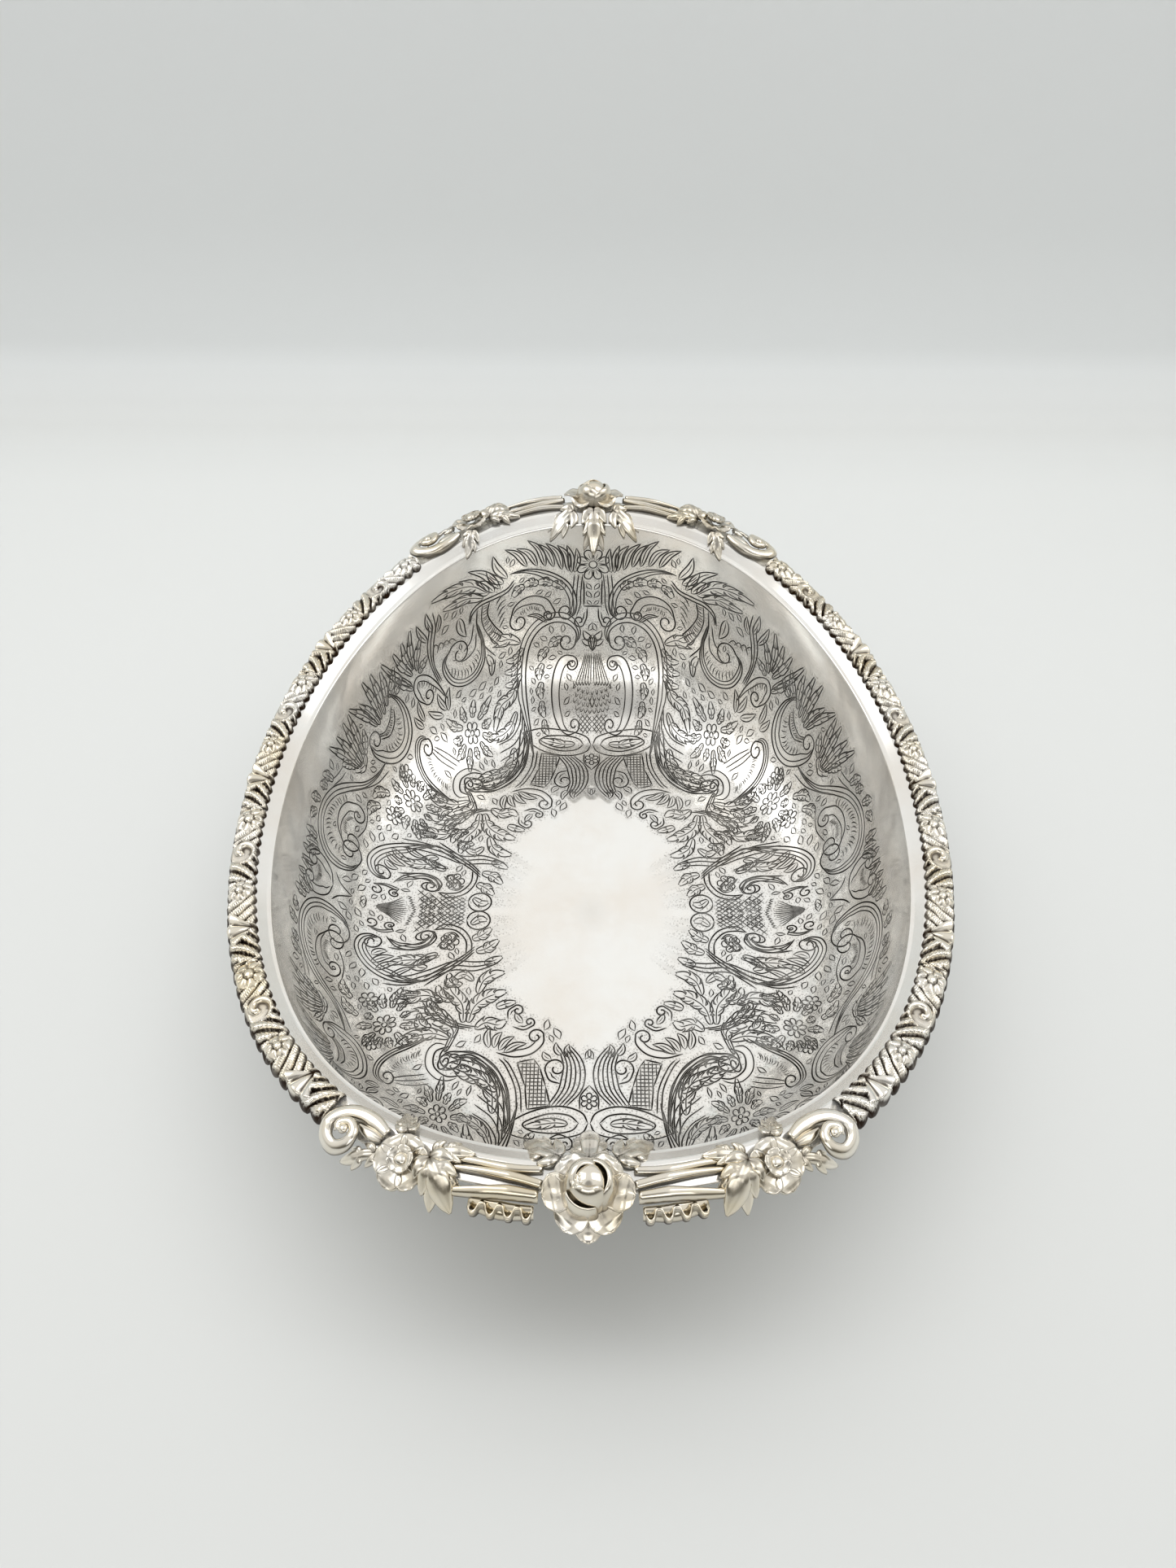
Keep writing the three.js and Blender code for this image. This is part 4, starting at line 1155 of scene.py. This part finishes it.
def wrap(start_angle, sweep, foot, top, reach, lean):
    """A petal wrapped round the bud: it stands on the foot height and closes towards the top."""
    def shape(t, q):
        angle = start_angle + sweep * t
        climb = (q + 1) / 2
        round_in = np.sin(math.pi * t) ** 0.5
        radius = reach * np.cos(climb * lean) * (0.88 + 0.12 * round_in)
        height = foot + (top - foot) * np.sin(climb * math.pi / 2) * (0.55 + 0.45 * round_in)
        # Darker at its foot and at its ends, where it tucks under: painted shade, with tarnish.
        return (ROSE[0] + radius * np.cos(angle), ROSE[1] + radius * np.sin(angle), height,
                0.5 * (1 - climb) ** 2 + 0.3 * (1 - round_in))
    return shell(shape, 26, 10, 0.7)


for start_angle, sweep, top, reach, lean in ((0.2, 2.9, 10.9, 6.9, 1.15), (2.5, 2.9, 10.5, 7.3, 1.05),
                                             (4.6, 2.7, 9.8, 7.8, 0.85), (1.2, 1.6, 8.8, 8.4, 0.6)):
    rose_parts.append(wrap(start_angle, sweep, 2.4, top, reach, lean))
for i in range(9):
    angle = 2.6 + 0.75 * (i % 3) / 2
    reach = 2.4 + 1.1 * (i // 3)
    stamen = (ROSE[0] + reach * math.cos(angle), ROSE[1] + reach * math.sin(angle))
    rose_parts.append(boss(stamen, 0.55, 0.7, base=9.9 - 0.75 * (i // 3)))
OUTER_PETALS = ((0.22, 12.8, 4.9, (2.4, 3.6, 5.2, 5.8, 5.0)), (2.9, 12.8, 5.0, (2.4, 4.0, 5.6, 6.2, 5.2)),
                (1.0, 12.2, 4.9, (2.2, 2.2, 3.4, 4.2, 3.4)), (2.14, 12.2, 4.9, (2.2, 2.8, 4.0, 4.6, 3.6)),
                (1.57, 12.6, 4.0, (2.0, 1.2, 1.8, 2.4, 2.0)), (-0.7, 10.8, 4.6, (2.4, 4.0, 5.2, 5.6, 4.8)),
                (-2.44, 10.8, 4.6, (2.4, 3.8, 5.0, 5.4, 4.6)))
for angle, reach, width, heights in OUTER_PETALS:
    rose_parts.append(petal(ROSE, angle, 2.5, reach, width, heights, crown=-2.2, roll=1.4, over=19, along=22))


def lobed_leaf(spine, width, heights, pairs, crown=1.2, hang=0.0):
    """A leaf cut deep into pairs of pointed lobes, each a small leaf with its own crown, over a
    middle blade."""
    line = smooth(spine, 0.4)
    length = np.linalg.norm(np.diff(line, axis=0), axis=1).sum()
    blade_widths = width * np.array([0.3, 0.42, 0.46, 0.48, 0.54, 0.6, 0.6, 0.5, 0.34, 0.06])
    parts = [leaf(spine, blade_widths, heights, crown=crown, vein=0.8, over=11, along=22)]
    for pair in range(pairs):
        share = (pair + 0.35) / (pairs + 0.9)
        root = line[int(share * (len(line) - 1))]
        ahead = line[min(len(line) - 1, int(share * (len(line) - 1)) + 2)] - root
        ahead = ahead / max(np.linalg.norm(ahead), 1e-6)
        reach = width * (1.05 - 0.25 * pair / pairs)
        low = np.interp(share, np.linspace(0, 1, len(heights)), heights)
        tip_low = np.interp(min(1, share + 0.35), np.linspace(0, 1, len(heights)), heights)
        for side in (1, -1):
            aside = np.array([-ahead[1], ahead[0]]) * side
            tip = root + aside * reach + ahead * length * 0.24
            bend = root + aside * reach * 0.5 + ahead * length * 0.04
            lobe_widths = width * np.array([0.2, 0.34, 0.42, 0.4, 0.32, 0.2, 0.04])
            parts.append(leaf([root, bend, tip], lobe_widths,
                              (low + 0.3, (low + tip_low) / 2 + 0.6 - hang * 0.3, tip_low - hang),
                              crown=crown * 0.8, vein=0.6, over=9, along=14))
    return parts


middle_leaf = lobed_leaf([(0, -0.8), (0.3, -7), (0, -15.4)], 5.4, (1.8, 2.6, 1.6, -2.6, -8.6), 3, hang=0.8)
side_leaf = lobed_leaf([(8.2, -1.6), (14, -4.6), (20.6, -8.8)], 4.9, (2.0, 3.0, 2.0, -0.6, -4.6), 2, hang=0.8)
reeds = [bar([(13, 2.2), (22, 2.9), (33, 2.5), (43, 3.2)], (1.1, 1.35, 1.1, 0.8), (0.8, 1.4, 1.2, 0.8)),
         bar([(13.4, 9.6), (22, 9.4), (30, 10.4), (37, 11.4)], (1.5, 1.9, 1.5, 1.0), (1.2, 1.8, 1.4, 0.8)),
         bar([(12.6, 6.6), (20, 5.4), (30, 4.9), (41, 5.6)], (1.2, 1.3, 1.0, 0.7), (1.8, 2.2, 1.8, 1.2))]


def frill(t, q):
    wave = np.tanh(1.4 * np.sin(2 * math.pi * 3.5 * t)) / 0.9
    climb = (q + 1) / 2
    out = 13.4 + 1.5 * wave * (0.5 + 0.5 * climb)
    # Darker towards its foot: painted shade, with tarnish.
    return 15 + 16.5 * t, out, -3.4 + 4.6 * climb + 0.4 * wave, 0.8 * (1 - climb)


def thick_wall(shape, along, over, thick):
    """A closed sheet that stands on edge: its thickness is taken outwards, not down."""
    points, faces = shell(shape, along, over, 0)
    half = len(points) // 2
    points[half:, 1] += thick
    return points, faces[:, ::-1]


ruffle = [thick_wall(frill, 91, 7, 1.1),
          bar([(14.5, 12.2), (23, 12.6), (32, 11.8)], (1.6, 2.2, 1.6), (-3.0, -2.6, -3.0))]
acanthus_parts = [
    *lobed_leaf([(45.6, 4.6), (41.4, 9.6), (36, 15.8)], 5.6, (2.2, 4.6, 4.4, 2.0, -1.6), 3, crown=1.7,
                hang=0.6),
    *lobed_leaf([(45.6, 4.2), (39, 1.8), (32.8, 0.6)], 3.2, (2.2, 3.6, 3.0, 1.2), 2, crown=1.2)]


def blossom(centre, radius, petals, rise, turn=0.0):
    """A small open flower: cupped round petals under a ring of inner ones and a boss."""
    parts = []
    for i in range(petals):
        angle = 2 * math.pi * i / petals + turn
        parts.append(petal(centre, angle, radius * 0.2, radius, radius * 0.5,
                           (rise * 0.6, rise * 1.1, rise * 1.35, rise * 1.1), crown=-1.0, roll=0.4,
                           over=11, along=14))
    for i in range(petals - 1):
        angle = 2 * math.pi * (i + 0.5) / (petals - 1) + turn
        parts.append(petal(centre, angle, radius * 0.08, radius * 0.5, radius * 0.27,
                           (rise * 1.0, rise * 1.6, rise * 1.7), crown=-0.6, over=7, along=7))
    parts.append(boss(centre, radius * 0.24, 1.3, base=rise * 1.1))
    return parts


flower_parts = blossom((52.6, 8.8), 7.9, 6, 3.4, 0.3)
flower_leaf = lobed_leaf([(54.6, 0.6), (57.4, -2.6), (61.4, -6.4)], 3.4, (2.0, 2.8, 1.8, -0.6), 2, crown=1.0)
volute = [bar([(60.4, 3.4), (65, 1.9), (70.5, 1.6), (75.6, 3.6), (78.4, 7.8), (77.2, 12), (73.2, 13.6),
               (69.8, 11.4), (69.4, 7.8), (72.2, 5.9), (74.8, 7.8), (73.8, 10)],
              (1.6, 2.4, 2.4, 2.2, 2.1, 1.8, 1.4, 0.9), (1.6, 2.0, 2.0, 2.4, 2.8, 3.4, 4.0, 4.6), depth=1.8,
              along=80, over=11),
          boss((72.6, 8.6), 1.5, 1.4, base=4.2),
          *lobed_leaf([(60, 9), (64.5, 11.6), (70.4, 15)], 2.8, (1.6, 2.4, 1.4, -1.0), 2, crown=1.0),
          leaf([(61, 5.6), (66, 5.4), (70.4, 4.6)], (0.8, 1.8, 1.4, 0.3), (1.8, 2.2, 2.0), crown=0.8,
               along=14)]
GARLAND = {"reed_pair": reeds, "ruffle": ruffle, "acanthus": acanthus_parts, "flower": flower_parts,
           "flower_leaf": flower_leaf, "scroll": volute, "rose_leaf": side_leaf}
for end_name, end in (("back", 1), ("front", -1)):
    cast(f"rose_{end_name}", at_end(rose_parts, end), f"rose_bloom_{end_name}")
    cast(f"rose_middle_leaf_{end_name}", at_end(middle_leaf, end), f"rose_leaf_middle_{end_name}")
    for side_name, side in (("right", 1), ("left", -1)):
        for kind, parts in GARLAND.items():
            placed = at_end(parts, end)
            placed = placed if side > 0 else mirrored(placed)
            cast(f"{kind}_{side_name}_{end_name}_cast", placed, f"{kind}_{side_name}_{end_name}")

# ---- Border of the sides ---------------------------------------------------------------------
# Four lengths of cast foliate strip on each side, butted and soldered, that hook over the edge.
# Each length is one relief: folded leaves, two daisies, a shell and a curl, with deep gaps.

BORDER_START = 81.0
SECTION_LENGTH = (2 * QUARTER - 2 * BORDER_START) / 4
STRIP_IN, STRIP_OUT = -0.6, 10.6


def folds(x, u, lean, pitch):
    """Overlapping leaf folds that cross the strip: each rises to a lip over the next."""
    phase = ((x + lean * (u - 4.6) - 0.045 * (u - 4.6) ** 2 * np.sign(lean)) / pitch) % 1
    phase = 1 - phase if lean < 0 else phase
    lip = (1 - np.exp(-(1 - phase) / 0.09)) * (1 - np.exp(-phase / 0.05))
    return (0.2 + 0.8 * np.sin(phase * math.pi / 2)) * lip


def daisy_relief(x, u, spot_x, spot_u, radius, petals):
    reach = np.hypot(x - spot_x, u - spot_u) / radius
    angle = np.arctan2(u - spot_u, x - spot_x)
    edge = 0.86 + 0.14 * np.abs(np.cos(petals * angle / 2))
    rib = np.abs(np.cos(petals * angle / 2)) ** 0.5
    height = 2.2 + 1.5 * rib * np.sin(math.pi * np.clip(reach, 0, 1) ** 0.8)
    height = np.where(reach < 0.3, 3.9 + 0.5 * np.cos(reach / 0.3 * math.pi / 2), height)
    height = np.where(np.abs(reach - 0.33) < 0.05, 2.1, height)
    return np.where(reach < edge, height, -9)


def shell_relief(x, u, spot_x, spot_u, radius, ribs, half_angle):
    reach = np.hypot(x - spot_x, u - spot_u) / radius
    angle = np.arctan2(x - spot_x, u - spot_u)
    rib = np.abs(np.cos(ribs * angle))
    height = 0.4 + 1.6 * np.sin(math.pi * np.clip(reach, 0, 1) * 0.66) + 2.3 * rib ** 0.7 * reach
    return np.where((reach < 0.9 + 0.1 * rib) & (np.abs(angle) < half_angle), height, -9)


def curl_relief(x, u, spot_x, spot_u, radius, turn):
    reach = np.hypot(x - spot_x, u - spot_u) / radius
    angle = np.arctan2(u - spot_u, turn * (x - spot_x))
    band = np.cos(math.pi * (1.6 * reach - angle / math.pi))
    return np.where(reach < 1, 2.0 + 1.5 * np.maximum(0, band) ** 0.6, -9)


def border_relief(x, u):
    """Height of the strip over the flange, for x along the length and u outwards."""
    dome = 1.1 + 2.3 * (1 - np.abs((u - 4.9) / 6.0) ** 2.6)
    left = folds(x, u, -0.7, 4.4)
    right = folds(x, u, 0.8, 5.0)
    blend = 0.5 + 0.5 * np.tanh((np.sin(2 * math.pi * x / 34.5) + 0.15) * 6)
    fold = left * blend + right * (1 - blend)
    veins = 0.16 * np.sin(2 * math.pi * (x + 2.4 * u) / 2.1)
    height = dome * (0.12 + 1.0 * fold) + 2.2 * veins * fold
    for spot_x, kind in ((5.8, "daisy"), (20.5, "curl"), (38.0, "daisy_small"), (54.5, "shell")):
        if kind == "daisy":
            motif = daisy_relief(x, u, spot_x, 4.6, 5.6, 7)
        elif kind == "daisy_small":
            motif = daisy_relief(x, u, spot_x, 5.0, 4.6, 6)
        elif kind == "shell":
            motif = shell_relief(x, u, spot_x, 0.2, 10, 5, 0.72)
        else:
            motif = curl_relief(x, u, spot_x, 5.2, 5.0, 1)
        edge = motif > -5
        near = np.where(edge, motif, -9)
        height = np.where(edge, near, height)
    return height


def strip_shell(start):
    def shape(t, q):
        x = t * SECTION_LENGTH
        teeth = np.abs(np.sin(math.pi * x / 4.4)) ** 0.6
        low = STRIP_IN - 0.2 + 1.5 * (1 - teeth)
        high = STRIP_OUT - 1.2 * (1 - np.abs(np.sin(math.pi * x / 5.75)) ** 0.6)
        u = low + (high - low) * (q + 1) / 2
        height = border_relief(x, u)
        height = height * np.minimum(1, (1 - np.abs(q)) * 9 + 0.35) - 1.2 * np.maximum(0, u - 9)
        # Darker where the relief is low or sunk below its neighbours, and at the strip's edges: painted shade
        # in gaps and crevices, with tarnish.
        shifts = [(i, k) for i in (-5, -2, 0, 2, 5) for k in (-4, -2, 0, 2, 4)]
        around = sum(np.roll(height, shift, (0, 1)) for shift in shifts) / len(shifts)
        depth = np.clip((2.0 - height) / 1.3, 0, 0.8) + np.clip((around - height) / 0.5, 0, 0.9)
        depth = depth + 0.5 * np.abs(q) ** 12
        return start + 0.15 + t * (SECTION_LENGTH - 0.3), u, height, depth
    return shell(shape, 300, 33, 0.9)


for side_name, side in (("right", 1), ("left", -1)):
    for number in range(4):
        parts = [strip_shell(BORDER_START + number * SECTION_LENGTH)]
        parts = parts if side > 0 else mirrored(parts)
        cast(f"border_{side_name}_{number + 1}_cast", parts, f"border_{side_name}_{number + 1}")

# ---- Room, light and camera ------------------------------------------------------------------
# A pale matt table top that sweeps up behind, soft lights, and a pale room with the dark shape of
# a person over the near end. Two lamps don't show in the metal, and three panels show only there.

paper = bpy.data.materials.new("matt paper sweep")
paper.use_nodes = True
paper_place = add(paper.node_tree, "ShaderNodeTexCoord")
paper_height = add(paper.node_tree, "ShaderNodeSeparateXYZ", [("Vector", paper_place, "Object")])
# The upright part of the sweep is coloured lighter than the table top: painted light, making up for the light
# the wall lacks.
paper_and_painted_wall_light = ramp(paper.node_tree, paper_height, "Z", [(0.004, "#cccecd"), (0.03, "#e2e5e6")])
paper_shader = paper.node_tree.nodes["Principled BSDF"]
paper.node_tree.links.new(paper_and_painted_wall_light.outputs["Color"], paper_shader.inputs["Base Color"])
paper_shader.inputs["Roughness"].default_value = 0.8
sweep_profile = [(-1.6, 0), (0.345, 0), (0.362, 0.003), (0.376, 0.012), (0.385, 0.026), (0.39, 0.045),
                 (0.39, 0.12), (0.39, 0.3)]
sweep_points = [(x, y, z) for y, z in sweep_profile for x in (-2.2, 2.2)]
sweep_faces = [(2 * i, 2 * i + 1, 2 * i + 3, 2 * i + 2) for i in range(len(sweep_profile) - 1)]
sweep_mesh = bpy.data.meshes.new("sweep")
sweep_mesh.from_pydata(sweep_points, [], sweep_faces)
sweep_mesh.shade_smooth()
sweep_mesh.materials.append(paper)
sweep = bpy.data.objects.new("sweep", sweep_mesh)
bpy.context.scene.collection.objects.link(sweep)


def soft_light(name, place, target, size_x, size_y, power):
    light = bpy.data.lights.new(name, "AREA")
    light.shape = "RECTANGLE"
    light.size, light.size_y, light.energy = size_x, size_y, power
    lamp = bpy.data.objects.new(name, light)
    bpy.context.scene.collection.objects.link(lamp)
    lamp.location = place
    lamp.rotation_euler = (Vector(target) - Vector(place)).to_track_quat("-Z", "Y").to_euler()
    return lamp


soft_light("overhead", (0, 0.2, 1.5), (0, 0.1, 0), 1.5, 1.0, 9).visible_glossy = False
soft_light("wall washer", (0, -0.02, 1.1), (0, 0.6, 0.3), 1.6, 0.25, 5).visible_glossy = False
soft_light("left panel", (-0.9, 0.05, 1.15), (0, 0, 0.1), 0.9, 1.2, 4.2).visible_diffuse = False
soft_light("right panel", (0.9, 0.05, 1.15), (0, 0, 0.1), 0.9, 1.2, 4.2).visible_diffuse = False
soft_light("low panel", (0, -1.5, 0.62), (0, 0, 0.1), 1.8, 0.5, 3.2).visible_diffuse = False
soft_light("window", (-1.1, 0.5, 1.3), (0, 0, 0.05), 0.5, 0.7, 1.2)
world = bpy.data.worlds.new("room")
world.use_nodes = True
air = world.node_tree
sky = add(air, "ShaderNodeTexCoord")
ways = add(air, "ShaderNodeSeparateXYZ", [("Vector", sky, "Generated")])
aside = add(air, "ShaderNodeMath", [(0, ways, "X")], operation="ABSOLUTE")
low = add(air, "ShaderNodeMath", [(0, aside, "Value")], operation="MULTIPLY_ADD", _1=-0.3, _2=0.5)
deep = add(air, "ShaderNodeMath", [(0, ways, "Y"), (2, low, "Value")], operation="MULTIPLY_ADD", _1=0.5)
high = add(air, "ShaderNodeMath", [(0, ways, "Z"), (2, deep, "Value")], operation="MULTIPLY_ADD", _1=0.5)
glow = ramp(air, high, "Value", [(0.0, "#565248"), (0.17, "#e4e2dd"), (0.5, "#f2f1ee"), (0.72, "#eae9e7"),
                                 (1.0, "#efeeec")])
seat = add(air, "ShaderNodeVectorMath", [(0, sky, "Generated")], operation="DOT_PRODUCT", _1=(0, -0.66, 0.75))
shade = add(air, "ShaderNodeMapRange", [("Value", seat, "Value")], From_Min=0.925, From_Max=0.98,
            To_Min=1.0, To_Max=0.35)
room = add(air, "ShaderNodeMix", [("Factor", shade, "Result"), (7, glow, "Color")], data_type="RGBA",
           _6=linear("#2d2a26"))
air.links.new(room.outputs["Result"], air.nodes["Background"].inputs["Color"])
world.node_tree.nodes["Background"].inputs["Strength"].default_value = 0.97
bpy.context.scene.world = world
bpy.context.scene.view_settings.view_transform = "Standard"

lens = bpy.data.cameras.new("camera")
lens.sensor_width = 36
lens.lens = 27.03
camera = bpy.data.objects.new("camera", lens)
bpy.context.scene.collection.objects.link(camera)
turn = (Matrix.Rotation(math.radians(0.25), 4, "Z") @ Matrix.Rotation(math.radians(90 - 51.15), 4, "X")
        @ Matrix.Rotation(math.radians(0.235), 4, "Z"))
camera.matrix_world = Matrix.Translation((-0.0001, -0.2754, 0.4402)) @ turn
bpy.context.scene.camera = camera
